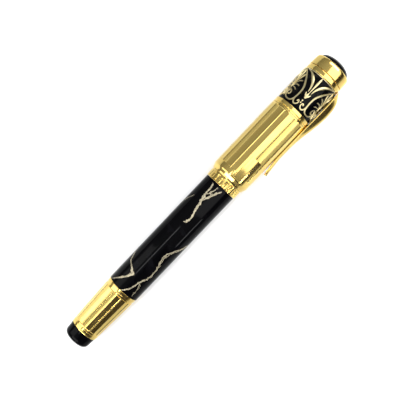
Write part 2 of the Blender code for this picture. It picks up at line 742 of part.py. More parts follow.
def crown_ring():
    """A ring whose shoulder rounds in to the dome's rim."""
    end = DOME_START - SEAT_GAP
    radius = CLIP_RING_RADIUS
    socket = STUD_RADIUS + 1.4 * MM
    web = CROWN_START + 1.5 * MM
    bore = STUD_RADIUS + FIT_GAP
    turn_in = [(1.0, 1.0), (0.97, 0.62), (0.88, 0.28), (0.72, 0.08), (0.5, 0.0)]
    length = end - CROWN_START
    outline = [(CROWN_START + length * at, radius - CROWN_TURN_IN * share) for at, share in turn_in]
    outline += [(CROWN_START, radius), (CROWN_START, bore), (web, bore), (web, socket), (end, socket)]
    return turned("crown_ring", outline, gold("crown_ring"))


def crown_dome():
    """A shallow polished dome with a short spigot in the crown ring."""
    spigot = STUD_RADIUS + 1.4 * MM - FIT_GAP
    spigot_start = DOME_START - 0.8 * MM
    arc = [0, 15, 30, 45, 60, 75, 90]
    outline = []
    for angle in map(math.radians, arc):
        station = DOME_START + DOME_LENGTH * math.cos(angle)
        outline.append((station, DOME_RADIUS * math.sin(angle)))
    outline[0] = (PEN_LENGTH, 0)
    outline += [(DOME_START, spigot), (spigot_start, spigot), (spigot_start, 0)]
    return turned("crown_dome", outline, lacquer("crown_dome"))


def crown_stud():
    """A stud through clip ring and crown ring: its foot is in the core, its head in the crown."""
    head_start = CROWN_START + 2.0 * MM
    head = head_start + 1.2 * MM
    foot = CLIP_RING_START - 2 * SEAT_GAP
    foot_radius = CORE_BORE - FIT_GAP
    foot_start = foot - 2.0 * MM
    head_radius = STUD_RADIUS + 1.1 * MM
    outline = [(head, 0), (head, head_radius), (head_start, head_radius), (head_start, STUD_RADIUS)]
    outline += [(foot, STUD_RADIUS), (foot, foot_radius), (foot_start, foot_radius), (foot_start, 0)]
    return turned("crown_stud", outline, brass("crown_stud"), SMALL_ROUND)


def crown_washer():
    """A lock washer between the crown ring's web and the stud's head."""
    start = CROWN_START + 1.5 * MM + SEAT_GAP
    end = CROWN_START + 2.0 * MM - SEAT_GAP
    outer = STUD_RADIUS + 1.1 * MM
    bore = STUD_RADIUS + FIT_GAP
    outline = [(end, outer), (start, outer), (start, bore), (end, bore)]
    return turned("crown_washer", outline, steel("crown_washer"), SMALL_ROUND)


# ------------------------------------------------------------------ clip


def clip_line(crest_setback, foot_setback):
    """(distance behind the crown ring, height of the outer side over the cap) along the clip."""
    low = FIT_GAP + SEAT_GAP + CLIP_THICKNESS
    return [
        (0.4 * MM, 0.25 * MM),
        (crest_setback * 0.26, CLIP_CREST * 0.38),
        (crest_setback * 0.45, CLIP_CREST * 0.72),
        (crest_setback * 0.62, CLIP_CREST * 0.88),
        (crest_setback, CLIP_CREST),
        (crest_setback + (foot_setback - crest_setback) * 0.37, CLIP_CREST * 0.8),
        (crest_setback + (foot_setback - crest_setback) * 0.62, CLIP_CREST * 0.52),
        (crest_setback + (foot_setback - crest_setback) * 0.84, low + 0.08 * MM),
        (foot_setback, low),
        ((foot_setback + CLIP_LENGTH) / 2, low + CLIP_TIP_LIFT * 0.4),
        (CLIP_LENGTH, low + CLIP_TIP_LIFT),
    ]


def clip():
    """An arm from the clip ring, over a hooded shoulder, to a foot on the cap and a lifted tip."""
    line = clip_line(CLIP_CREST_SETBACK, CLIP_FOOT_SETBACK)
    outer = [(CROWN_START - back, -(CAP_RADIUS + height)) for back, height in line]
    inner = []
    for (x, y), before, after in zip(outer, outer[:1] + outer[:-1], outer[1:] + outer[-1:]):
        along = (Vector(after) - Vector(before)).normalized()
        inner.append((x - along.y * CLIP_THICKNESS, y + abs(along.x) * CLIP_THICKNESS))
    root = CROWN_START - line[0][0]
    root_floor = -(CLIP_RING_RADIUS + SLIDE_GAP)
    side = [(root, root_floor)] + outer + list(reversed(inner[2:]))
    side.append((CLIP_RING_START + FIT_GAP, root_floor))
    arm = plate("clip", [side], CLIP_SHOULDER_WIDTH * 1.2, Matrix.Identity(4), gold("clip"))
    shoulder = CROWN_START - CLIP_CREST_SETBACK
    tip = CROWN_START - CLIP_LENGTH
    half_widths = [
        (CROWN_START + OVERRUN, CLIP_ROOT_WIDTH / 2),
        (CLIP_RING_START, CLIP_ROOT_WIDTH / 2),
        (shoulder + 3 * MM, CLIP_SHOULDER_WIDTH / 2),
        (shoulder - 2 * MM, CLIP_SHOULDER_WIDTH / 2),
        (tip + 1.2 * MM, CLIP_TIP_WIDTH / 2),
        (tip, CLIP_TIP_WIDTH / 4),
        (tip - OVERRUN, CLIP_TIP_WIDTH / 4),
    ]
    top = half_widths + [(x, -half) for x, half in reversed(half_widths)]
    stand_up = Matrix.Rotation(math.radians(90), 4, "X")
    seen_from_side = Matrix.Translation((0, -CAP_RADIUS, 0)) @ stand_up
    width = plate(
        "clip_width", [top], 4 * CLIP_CREST, seen_from_side, finish("width", (0.5,) * 3, 0.5, 0.0), cutters
    )
    return cut(arm, width, "INTERSECT")


def build_pen():
    clear_scene()
    for piece in (
        tail_cap,
        tail_stud,
        tail_sleeve,
        barrel_liner,
        barrel_tube,
        barrel_ring,
        refill_spring,
    ):
        piece()
    section = [piece() for piece in (section_coupling, section_o_ring, section_ring)]
    section += [grip_section(), nose_cone()]
    refill = [piece() for piece in (refill_tube, refill_plug, refill_nose, refill_point)]
    cap_pieces = (cap_tube, cap_plaque, cap_clutch, inner_cap, cap_core, cap_collar, frieze_band)
    cap = [piece() for piece in cap_pieces]
    cap += [frieze_relief(), clip_ring(), crown_ring(), crown_dome(), crown_stud(), crown_washer()]
    section_slide = pivot("section_slide", SECTION_START)
    cap_slide = pivot("cap_slide", CAP_START)
    refill_slide = pivot("refill_slide", REFILL_REAR)
    clip_hinge = pivot("clip_hinge", CROWN_START - 0.4 * MM, -(CLIP_RING_RADIUS + SLIDE_GAP))
    hang_on(section_slide, cap_slide, *section)
    hang_on(cap_slide, clip_hinge, *cap)
    hang_on(refill_slide, refill_ball(), *refill)
    hang_on(clip_hinge, clip())
    smooth_round_pieces()


build_pen()
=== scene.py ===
"""Finish for a capped rollerball pen: fluted gold, black lacquer with pale veins, an enamelled frieze.

The pen lies along X with its tail at the origin. An angle round the pen is 0 at the top and
grows towards the clip, which stands towards -Y.
"""

import math
import random

import bmesh
import bpy
from mathutils import Matrix, Vector


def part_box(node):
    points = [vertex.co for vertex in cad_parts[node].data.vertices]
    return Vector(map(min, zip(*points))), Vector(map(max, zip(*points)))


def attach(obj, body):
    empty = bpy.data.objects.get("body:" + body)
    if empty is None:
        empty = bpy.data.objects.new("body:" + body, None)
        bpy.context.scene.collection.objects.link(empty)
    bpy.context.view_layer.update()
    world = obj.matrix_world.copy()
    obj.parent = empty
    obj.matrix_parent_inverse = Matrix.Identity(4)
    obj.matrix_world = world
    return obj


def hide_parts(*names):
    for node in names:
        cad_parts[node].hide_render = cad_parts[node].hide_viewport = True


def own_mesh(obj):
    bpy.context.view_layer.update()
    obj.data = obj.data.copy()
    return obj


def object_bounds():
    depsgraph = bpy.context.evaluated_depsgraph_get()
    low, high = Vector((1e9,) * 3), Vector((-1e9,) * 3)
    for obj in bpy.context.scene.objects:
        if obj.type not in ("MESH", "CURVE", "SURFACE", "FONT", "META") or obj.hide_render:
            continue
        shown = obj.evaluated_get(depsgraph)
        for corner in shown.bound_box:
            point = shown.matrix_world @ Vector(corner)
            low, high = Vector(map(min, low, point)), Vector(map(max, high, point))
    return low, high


bl_info = {
    "name": "Rollerball pen",
    "version": (1, 0, 0),
    "blender": (4, 5, 0),
    "location": "View3D > Sidebar > Pen",
    "description": "Models and finishes a capped rollerball pen around its working frame",
    "category": "Object",
}

MM = 0.001
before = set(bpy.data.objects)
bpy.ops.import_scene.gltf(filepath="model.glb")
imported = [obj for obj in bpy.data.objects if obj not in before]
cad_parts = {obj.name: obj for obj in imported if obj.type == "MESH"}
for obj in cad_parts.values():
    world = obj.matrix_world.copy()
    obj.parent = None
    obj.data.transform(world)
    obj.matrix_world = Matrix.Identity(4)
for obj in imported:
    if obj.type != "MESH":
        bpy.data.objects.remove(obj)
CAD_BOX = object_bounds()

TURN_STEPS = 128
SMALL_TURN_STEPS = 64
SMOOTH_ANGLE = math.radians(32)
WELD = 0.001 * MM
EDGE_BREAK = 0.04 * MM
CLEARANCE = 0.08 * MM


# ------------------------------------------------------------ places from the frame


def ends(node):
    """The stations at which a node starts and ends."""
    low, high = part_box(node)
    return low.x, high.x


def radius(node):
    """A turned node's outer radius."""
    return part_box(node)[1].z


def meridian_outline(node):
    """The ordered (station, radius) corners of a turned node, read along one of its facet edges."""
    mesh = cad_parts[node].data
    on_axis = 0.01 * MM
    slack = 0.001
    turns = {}
    for vertex in mesh.vertices:
        away = math.hypot(vertex.co.y, vertex.co.z)
        turns[vertex.index] = math.atan2(vertex.co.y, -vertex.co.z) if away > on_axis else None
    edge_turn = min(turn for turn in turns.values() if turn is not None and turn > slack)

    def corner(index):
        co = mesh.vertices[index].co
        flat = math.hypot(co.y, co.z) * math.cos(edge_turn)
        return (round(co.x, 7), round(flat, 7) if turns[index] is not None else 0.0)

    links = {}
    for edge in mesh.edges:
        if all(turns[i] is None or abs(turns[i] - edge_turn) < 5 * slack for i in edge.vertices):
            first, second = map(corner, edge.vertices)
            if first != second:
                links.setdefault(first, set()).add(second)
                links.setdefault(second, set()).add(first)
    loose = sorted(point for point, others in links.items() if len(others) == 1)
    walk = [loose[0] if loose else min(links)]
    while True:
        onward = [point for point in sorted(links[walk[-1]]) if point not in walk]
        if not onward:
            return walk, not loose
        walk.append(onward[0])


# ------------------------------------------------------------ modelling


def start_piece(name):
    """One point at the origin, in edit mode, from which an outline is drawn."""
    bpy.ops.object.select_all(action="DESELECT")
    bpy.ops.mesh.primitive_plane_add(size=MM)
    obj = bpy.context.object
    obj.name = name
    obj.data.name = name
    bpy.ops.object.mode_set(mode="EDIT")
    bpy.ops.mesh.select_mode(type="VERT")
    bpy.ops.mesh.merge(type="CENTER")
    return obj


def pick(*objects):
    """Selects just these objects, with the first one active."""
    bpy.ops.object.select_all(action="DESELECT")
    for obj in objects:
        obj.select_set(True)
    bpy.context.view_layer.objects.active = objects[0]


def weld_all():
    """Selects the whole mesh and merges its doubles, in edit mode."""
    bpy.ops.mesh.select_all(action="SELECT")
    bpy.ops.mesh.remove_doubles(threshold=WELD)


def choose(obj, test):
    """Selects the points that pass the test, in edit mode."""
    mesh = bmesh.from_edit_mesh(obj.data)
    for vertex in mesh.verts:
        vertex.select_set(test(vertex))
    mesh.select_flush(True)
    bmesh.update_edit_mesh(obj.data)


def bend_at(vertex):
    """The angle by which an outline bends at a point, or -1 at a loose end."""
    if len(vertex.link_edges) != 2:
        return -1.0
    first, second = (edge.other_vert(vertex).co - vertex.co for edge in vertex.link_edges)
    return math.pi - first.angle(second)


def draw_outline(obj, corners, closed, soft=0.0, hard=0.0):
    """Draws (station, radius) corners, then rounds the blunt ones by soft and the sharp by hard."""
    bpy.ops.transform.translate(value=(corners[0][0], 0, corners[0][1]))
    onward = corners[1:] + corners[:1] if closed else corners[1:]
    for before, after in zip(corners, onward):
        step = (after[0] - before[0], 0, after[1] - before[1])
        bpy.ops.mesh.extrude_vertices_move(TRANSFORM_OT_translate={"value": step})
    straight, blunt = math.radians(1), math.radians(50)
    for size, least, most in ((soft, straight, blunt), (hard, blunt, math.pi)):
        weld_all()
        if size:
            choose(obj, lambda vertex: least <= bend_at(vertex) < most)
            bpy.ops.mesh.bevel(offset=size, segments=4, affect="VERTICES", clamp_overlap=True)
    bpy.ops.mesh.select_all(action="SELECT")


def spin_round(turns):
    """Turns the selected outline about the pen's axis, one step for each angle."""
    for turn in turns:
        bpy.ops.mesh.spin(steps=1, angle=turn, center=(0, 0, 0), axis=(1, 0, 0))


def close_piece(obj, smooth=SMOOTH_ANGLE):
    """Welds the seam and the poles, turns the faces outwards and smooths."""
    weld_all()
    bpy.ops.mesh.normals_make_consistent(inside=False)
    bpy.ops.object.mode_set(mode="OBJECT")
    bpy.ops.object.shade_smooth_by_angle(angle=smooth)
    return obj


def turned(name, corners, closed, soft=0.0, hard=EDGE_BREAK, steps=TURN_STEPS):
    """A plain turned piece."""
    obj = start_piece(name)
    draw_outline(obj, corners, closed, soft, hard)
    bpy.ops.mesh.spin(steps=steps, angle=math.tau, center=(0, 0, 0), axis=(1, 0, 0))
    return close_piece(obj)


def fluted(name, corners, zone, flutes, cuts):
    """A turned piece, pressed in between two stations.

    The cuts are (share of half a pitch, depth) pairs that run from the middle of a land, where the
    share is 0, to the middle of a flute, where it is 1.
    """
    pitch = math.tau / flutes
    shares = [share for share, _ in cuts]
    turns = [(after - before) * pitch / 2 for before, after in zip(shares, shares[1:])]
    obj = start_piece(name)
    draw_outline(obj, corners, True, hard=EDGE_BREAK)
    for _ in range(flutes):
        spin_round(turns + turns[::-1])
    weld_all()
    # the wall's own corners lie near the zone, and further out than any bore
    reach, narrowest = 0.5 * MM, 4.9 * MM
    walls = [r for x, r in corners if zone[0] - reach < x < zone[1] + reach and r > narrowest]
    outside = min(walls)
    near = min(turns) / 4
    slack = 0.2 * MM

    def in_cut(co, here):
        """Whether a point of the wall lies at this angle from the middle of a land."""
        turn = math.atan2(-co.y, co.z) % pitch
        on_wall = zone[0] < co.x < zone[1] and math.hypot(co.y, co.z) > outside - slack
        return on_wall and min(abs(turn - here), abs(pitch - turn - here)) < near

    for share, depth in cuts:
        choose(obj, lambda vertex: in_cut(vertex.co, share * pitch / 2))
        factor = 1 - depth / outside
        bpy.ops.transform.resize(value=(1, factor, factor), center_override=(0, 0, 0), orient_type="GLOBAL")
    close_piece(obj)
    bpy.ops.object.modifier_add(type="WEIGHTED_NORMAL")
    weighted = obj.modifiers[-1]
    weighted.keep_sharp = True
    bpy.ops.object.modifier_apply(modifier=weighted.name)
    return obj


def long_flutes(shape, wide):
    """Cuts of a long flute: a crowned land, steep sides and a shallow hollow."""
    land = shape.land_width / wide
    pitch = math.tau / shape.cap_flutes
    edge = land / pitch * 1.3
    crown, side = 0.01 * MM, 0.09 * MM
    cuts = [(0.0, 0.0), (edge * 0.45, crown), (edge, side)]
    for across in (0.86, 0.7, 0.5, 0.25, 0.0):
        hollow = (shape.flute_depth - side) * (1 - across**2.2)
        cuts.append((1 - across * (1 - edge), side + hollow))
    return cuts


def wire(points, resolution=6, sides=2):
    """A round wire through (place, radius) points."""
    bpy.ops.object.select_all(action="DESELECT")
    bpy.ops.curve.primitive_bezier_curve_add(radius=MM)
    obj = bpy.context.object
    obj.data.resolution_u = resolution
    obj.data.bevel_depth = MM
    obj.data.bevel_resolution = sides
    obj.data.use_fill_caps = True
    spline = obj.data.splines[0]
    spline.bezier_points.add(len(points) - 2)
    for knot, (place, size) in zip(spline.bezier_points, points):
        knot.co = place
        knot.handle_left_type = "AUTO"
        knot.handle_right_type = "AUTO"
        knot.radius = size / MM
    bpy.ops.object.convert(target="MESH")
    return bpy.context.object


def thread(points, resolution=6, sides=2):
    """A tapering thread drawn flat through (station, distance round, half width) points."""
    return wire([((station, across, 0), half) for station, across, half in points], resolution, sides)


def join(name, objects):
    """One object of several."""
    pick(*objects)
    bpy.ops.object.join()
    objects[0].name = name
    objects[0].data.name = name
    return objects[0]


def copy_of(obj, move=(0, 0, 0)):
    """A moved copy with a mesh of its own."""
    pick(obj)
    bpy.ops.object.duplicate()
    twin = bpy.context.object
    twin.data.transform(Matrix.Translation(move))
    return twin


def lay_round(obj, on_radius, height, softness=0.06 * MM):
    """Presses flat threads to a low rounded relief, and lays them round the pen."""
    sink = 0.03 * MM
    for vertex in obj.data.vertices:
        station, across, up = vertex.co
        lift = height * up / (up + softness) if up > 0 else -sink
        turn = across / on_radius
        out = on_radius + lift
        vertex.co = (station, -out * math.sin(turn), out * math.cos(turn))
    pick(obj)
    bpy.ops.object.mode_set(mode="EDIT")
    return close_piece(obj, math.radians(60))


def round_pen(start, points, on_radius):
    """Points given as (mm from the start, degrees round, half width in mm), in metres on the flat."""
    return [(start + x * MM, math.radians(turn) * on_radius, half * MM) for x, turn, half in points]


def hand_over(obj, body, finish, slot, *nodes):
    """Gives a finished piece its material, its body and the nodes that it stands for."""
    obj.data.materials.clear()
    obj.data.materials.append(material_called(finish))
    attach(obj, body)
    if nodes:
        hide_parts(*nodes)


def turn_nodes(body, rows, steps=TURN_STEPS):
    """Turns nodes finely on their own outlines, from rows of (node, finish, slot, soft, hard)."""
    for node, finish, slot, soft, hard in rows:
        corners, closed = meridian_outline(node)
        piece = turned(node + "_turned", corners, closed, soft, hard, steps)
        hand_over(piece, body, finish, slot, node)


def refinish(node, finish):
    """Gives a node whose shape stays its finer material."""
    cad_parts[node].material_slots[0].material = material_called(finish)


# ------------------------------------------------------------ materials


def add_node(tree, kind, links, values):
    """A shader node with some inputs linked and some set."""
    node = tree.nodes.new("ShaderNode" + kind)
    for name, socket in links.items():
        tree.links.new(socket, node.inputs[name])
    for name, value in values.items():
        node.inputs[name].default_value = value
    return node


def new_material(name, metallic=0.0, specular=0.5):
    """A material with its Principled shader and its object coordinates."""
    material = bpy.data.materials.new(name)
    material.use_nodes = True
    tree = material.node_tree
    shader = tree.nodes["Principled BSDF"]
    shader.inputs["Metallic"].default_value = metallic
    shader.inputs["Specular IOR Level"].default_value = specular
    coordinates = add_node(tree, "TexCoord", {}, {})
    return material, tree, shader, coordinates.outputs["Object"]


def grain(tree, place, scale, stretch=(1, 1, 1), detail=3.0, distortion=0.0):
    """Noise on the piece, drawn out by the stretch."""
    mapping = add_node(tree, "Mapping", {"Vector": place}, {"Scale": stretch})
    look = {"Scale": scale, "Detail": detail, "Distortion": distortion}
    return add_node(tree, "TexNoise", {"Vector": mapping.outputs["Vector"]}, look).outputs["Fac"]


def blend_colours(tree, shader, factor, stops):
    """Base colour from a ramp of (position, colour) stops."""
    ramp = add_node(tree, "ValToRGB", {"Fac": factor}, {})
    elements = ramp.color_ramp.elements
    while len(elements) < len(stops):
        elements.new(0.5)
    for element, (position, colour) in zip(elements, stops):
        element.position = position
        element.color = (*colour, 1)
    tree.links.new(ramp.outputs["Color"], shader.inputs["Base Color"])


def vary_roughness(tree, shader, factor, low, high):
    """Roughness that follows a factor."""
    limits = {"From Min": 0.3, "From Max": 0.7, "To Min": low, "To Max": high}
    spread = add_node(tree, "MapRange", {"Value": factor}, limits)
    tree.links.new(spread.outputs["Result"], shader.inputs["Roughness"])


def add_bump(tree, shader, factor, strength, distance):
    """A fine relief that follows a factor."""
    bump = add_node(tree, "Bump", {"Height": factor}, {"Strength": strength, "Distance": distance})
    tree.links.new(bump.outputs["Normal"], shader.inputs["Normal"])


def shade(colour, factor):
    """A colour made darker."""
    return tuple(channel * factor for channel in colour)


def polished_metal(name, colour, low=0.12, high=0.18, warmth=0.05):
    """Polished plate: slight tone changes, faint rub marks along the pen and a soft ripple."""
    material, tree, shader, place = new_material(name, metallic=1.0)
    clouds = grain(tree, place, 160)
    redder = (colour[0], colour[1] * (1 - warmth), colour[2] * (1 - 2 * warmth))
    blend_colours(tree, shader, clouds, [(0.35, redder), (0.65, colour)])
    rubs = grain(tree, place, 2600, stretch=(0.06, 1, 1), detail=4)
    vary_roughness(tree, shader, rubs, low, high)
    add_bump(tree, shader, rubs, 0.004, 0.001 * MM)
    return material


def turned_metal(name, colour, low=0.22, high=0.38):
    """Machined metal: fine tool marks that run round the piece."""
    material, tree, shader, place = new_material(name, metallic=1.0)
    marks = grain(tree, place, 900, stretch=(14, 0.25, 0.25), detail=2)
    blend_colours(tree, shader, marks, [(0.3, shade(colour, 0.82)), (0.7, colour)])
    vary_roughness(tree, shader, marks, low, high)
    add_bump(tree, shader, marks, 0.25, 0.01 * MM)
    return material


def gloss_black(name, colour, patch, patch_share, specular=0.08):
    """Deep gloss black with faint cloudy patches and an almost flat orange peel."""
    material, tree, shader, place = new_material(name, specular=specular)
    clouds = grain(tree, place, 210, detail=5, distortion=0.6)
    stops = [(1 - patch_share, colour), (1 - patch_share / 3, patch)]
    blend_colours(tree, shader, clouds, stops)
    fine = grain(tree, place, 1400, detail=2)
    vary_roughness(tree, shader, fine, 0.03, 0.07)
    add_bump(tree, shader, fine, 0.03, 0.004 * MM)
    return material


def moulded(name, colour, rough=(0.35, 0.5), bump=0.2):
    """Moulded plastic or rubber with a fine surface grain."""
    material, tree, shader, place = new_material(name, specular=0.4)
    fine = grain(tree, place, 2400, detail=4)
    blend_colours(tree, shader, fine, [(0.3, shade(colour, 0.85)), (0.7, colour)])
    vary_roughness(tree, shader, fine, *rough)
    add_bump(tree, shader, fine, bump, 0.01 * MM)
    return material


def vein_metal(name, colour):
    """Pale metal leaf in the veins: broken tones, half dull."""
    material, tree, shader, place = new_material(name, metallic=0.55)
    flakes = grain(tree, place, 2200, detail=5, distortion=0.8)
    stops = [(0.32, shade(colour, 0.22)), (0.5, shade(colour, 0.8)), (0.66, colour)]
    blend_colours(tree, shader, flakes, stops)
    vary_roughness(tree, shader, flakes, 0.25, 0.45)
    add_bump(tree, shader, flakes, 0.3, 0.01 * MM)
    return material


def material_called(name):
    """A finish by its name, made the first time that it is asked for."""
    if name in bpy.data.materials:
        return bpy.data.materials[name]
    finish = bpy.context.scene.pen_finish
    gold, relief, black = tuple(finish.gold), tuple(finish.relief), tuple(finish.lacquer)
    makers = {
        "polished_gold": lambda: polished_metal(name, gold),
        "relief_gold": lambda: polished_metal(name, relief, 0.3, 0.42, 0.03),
        # painted shade: the engraved lines get gold darkened to a dark brown, standing in for the shade in
        # the cut grooves
        "engraving_painted_shade": lambda: moulded(name, shade(gold, 0.12), (0.4, 0.6)),
        "turned_brass": lambda: turned_metal(name, (0.72, 0.5, 0.22)),
        "bright_steel": lambda: turned_metal(name, (0.62, 0.62, 0.63), 0.14, 0.26),
        "deep_lacquer": lambda: gloss_black(name, black, (0.006, 0.006, 0.008), 0.45),
        "patched_enamel": lambda: gloss_black(name, black, (0.045, 0.042, 0.036), 0.46),
        "polished_resin": lambda: gloss_black(name, black, (0.004, 0.004, 0.005), 0.4),
        "vein_gold": lambda: vein_metal(name, tuple(finish.vein)),
        "dark_plastic": lambda: moulded(name, (0.03, 0.03, 0.036)),
        "pale_plastic": lambda: moulded(name, (0.78, 0.78, 0.74)),
        "seal_rubber": lambda: moulded(name, (0.015, 0.015, 0.015), (0.6, 0.8), 0.35),
        "card_paint": lambda: moulded(name, (0.012, 0.004, 0.001)),
    }
    return makers[name]()


# ------------------------------------------------------------ sizes and colours


def whole_number(name, description, default):
    """A whole number of features round the pen."""
    return bpy.props.IntProperty(name=name, description=description, default=default, min=6, max=60)


def length_value(name, description, default):
    """A length in metres."""
    return bpy.props.FloatProperty(name=name, description=description, default=default, unit="LENGTH")


def angle_value(name, description, degrees):
    """An angle, given in degrees."""
    turn = math.radians(degrees)
    return bpy.props.FloatProperty(name=name, description=description, default=turn, subtype="ANGLE")


def colour_value(name, description, default):
    """A base colour."""
    return bpy.props.FloatVectorProperty(name=name, description=description, default=default, subtype="COLOR")


class PenShape(bpy.types.PropertyGroup):
    """Sizes of the details that the frame doesn't hold."""

    cap_flutes: whole_number("Cap flutes", "Flutes round the cap", 20)
    sleeve_flutes: whole_number("Sleeve flutes", "Flutes round the tail sleeve", 18)
    reeds: whole_number("Ring reeds", "Upright reeds round the barrel ring", 20)
    flute_depth: length_value("Flute depth", "Depth of a long flute", 0.16 * MM)
    reed_depth: length_value("Reed depth", "Depth between two reeds of the ring", 0.24 * MM)
    land_width: length_value("Land width", "Width of the land between two flutes", 0.35 * MM)
    lip_length: length_value("Lip length", "Length of the cap's turned-in lip", 2.2 * MM)
    lip_turn_in: length_value("Lip turn-in", "How far the lip narrows", 0.65 * MM)
    cap_band: length_value("Cap band", "Plain band between lip and flutes", 1.9 * MM)
    relief_height: length_value("Relief height", "How far the threads stand out", 0.27 * MM)
    clip_wall: length_value("Clip wall", "Thickness of the hooded clip", 0.6 * MM)
    clip_rim: length_value("Clip rim", "Radius of the clip's rims", 0.2 * MM)
    thread_pitch: length_value("Thread pitch", "Pitch of the section's thread", 0.75 * MM)


class PenFinish(bpy.types.PropertyGroup):
    """Colours of the pen."""

    gold: colour_value("Gold", "Polished gold plate", (0.95, 0.72, 0.22))
    relief: colour_value("Relief gold", "Paler gold of the frieze", (0.78, 0.68, 0.38))
    lacquer: colour_value("Black", "Lacquer, enamel and resin", (0.0015, 0.0015, 0.002))
    vein: colour_value("Vein", "Veins in the lacquer", (0.62, 0.55, 0.38))


class PenStudio(bpy.types.PropertyGroup):
    """The floor, the light and the camera."""

    height: length_value("Camera height", "Camera over the pen's axis", 0.249)
    view_angle: angle_value("View angle", "Camera's field of view", 32.8)
    lean: angle_value("Lean", "The pen's slant in the view", 46.41)
    surround: bpy.props.FloatProperty(name="Surround", description="Even light all round", default=0.36)
    softbox: bpy.props.FloatProperty(name="Softbox", description="Brightness of a softbox", default=1.8)


# ------------------------------------------------------------ pieces


class PenPiece:
    """What the pen's operators share."""

    bl_options = {"REGISTER", "UNDO"}


class PEN_OT_tail_cap(PenPiece, bpy.types.Operator):
    """Blunt black cap with a rounded edge at the tail"""

    bl_idname = "pen.tail_cap"
    bl_label = "Tail cap"

    def execute(self, context):
        turn_nodes("barrel", [("tail_cap", "polished_resin", "black_resin", 0.3 * MM, EDGE_BREAK)])
        return {"FINISHED"}


class PEN_OT_tail_sleeve(PenPiece, bpy.types.Operator):
    """Tapering gold sleeve: raised rims, narrow recesses and long flutes"""

    bl_idname = "pen.tail_sleeve"
    bl_label = "Tail sleeve"

    taper = 0.81 * MM
    rim = 1.35 * MM
    recess = 0.85 * MM
    sunk = 0.14 * MM
    border = 0.15 * MM
    stud_hole = 2.08 * MM
    stud_hole_depth = 2 * MM

    def execute(self, context):
        shape = context.scene.pen_shape
        start, end = ends("tail_sleeve")
        wide = radius("tail_sleeve")
        narrow = wide - self.taper
        rim, sunk = self.rim, self.sunk

        def at(station):
            return narrow + (wide - narrow) * (station - start) / (end - start)

        zone = (start + rim + self.recess, end - rim - self.recess)
        liner_start = ends("barrel_liner")[0] - 0.1 * MM
        socket = radius("barrel_liner") + CLEARANCE
        bore = radius("tail_stud") + CLEARANCE
        floor = start + self.stud_hole_depth
        corners = [(end, at(end)), (end - rim, at(end - rim)), (end - rim, at(end - rim) - sunk)]
        corners += [(zone[1], at(zone[1]) - sunk), (zone[1], at(zone[1]))]
        corners += [(zone[1] - self.border, at(zone[1])), (zone[0] + self.border, at(zone[0]))]
        corners += [(zone[0], at(zone[0])), (zone[0], at(zone[0]) - sunk)]
        corners += [(start + rim, at(start + rim) - sunk), (start + rim, at(start + rim))]
        corners += [(start, narrow), (start, self.stud_hole), (floor, self.stud_hole), (floor, bore)]
        corners += [(liner_start, bore), (liner_start, socket), (end, socket)]
        inside = (zone[0] + self.border / 2, zone[1] - self.border / 2)
        cuts = long_flutes(shape, wide)
        sleeve = fluted("tail_sleeve_fluted", corners, inside, shape.sleeve_flutes, cuts)
        hand_over(sleeve, "barrel", "polished_gold", "gold", "tail_sleeve")
        return {"FINISHED"}


class PEN_OT_barrel(PenPiece, bpy.types.Operator):
    """Lacquered barrel over its brass liner"""

    bl_idname = "pen.barrel"
    bl_label = "Barrel"

    def execute(self, context):
        tube = ("barrel_tube", "deep_lacquer", "black_lacquer", 0.0, 0.08 * MM)
        liner = ("barrel_liner", "turned_brass", "brass", 0.0, EDGE_BREAK)
        turn_nodes("barrel", (tube, liner))
        return {"FINISHED"}


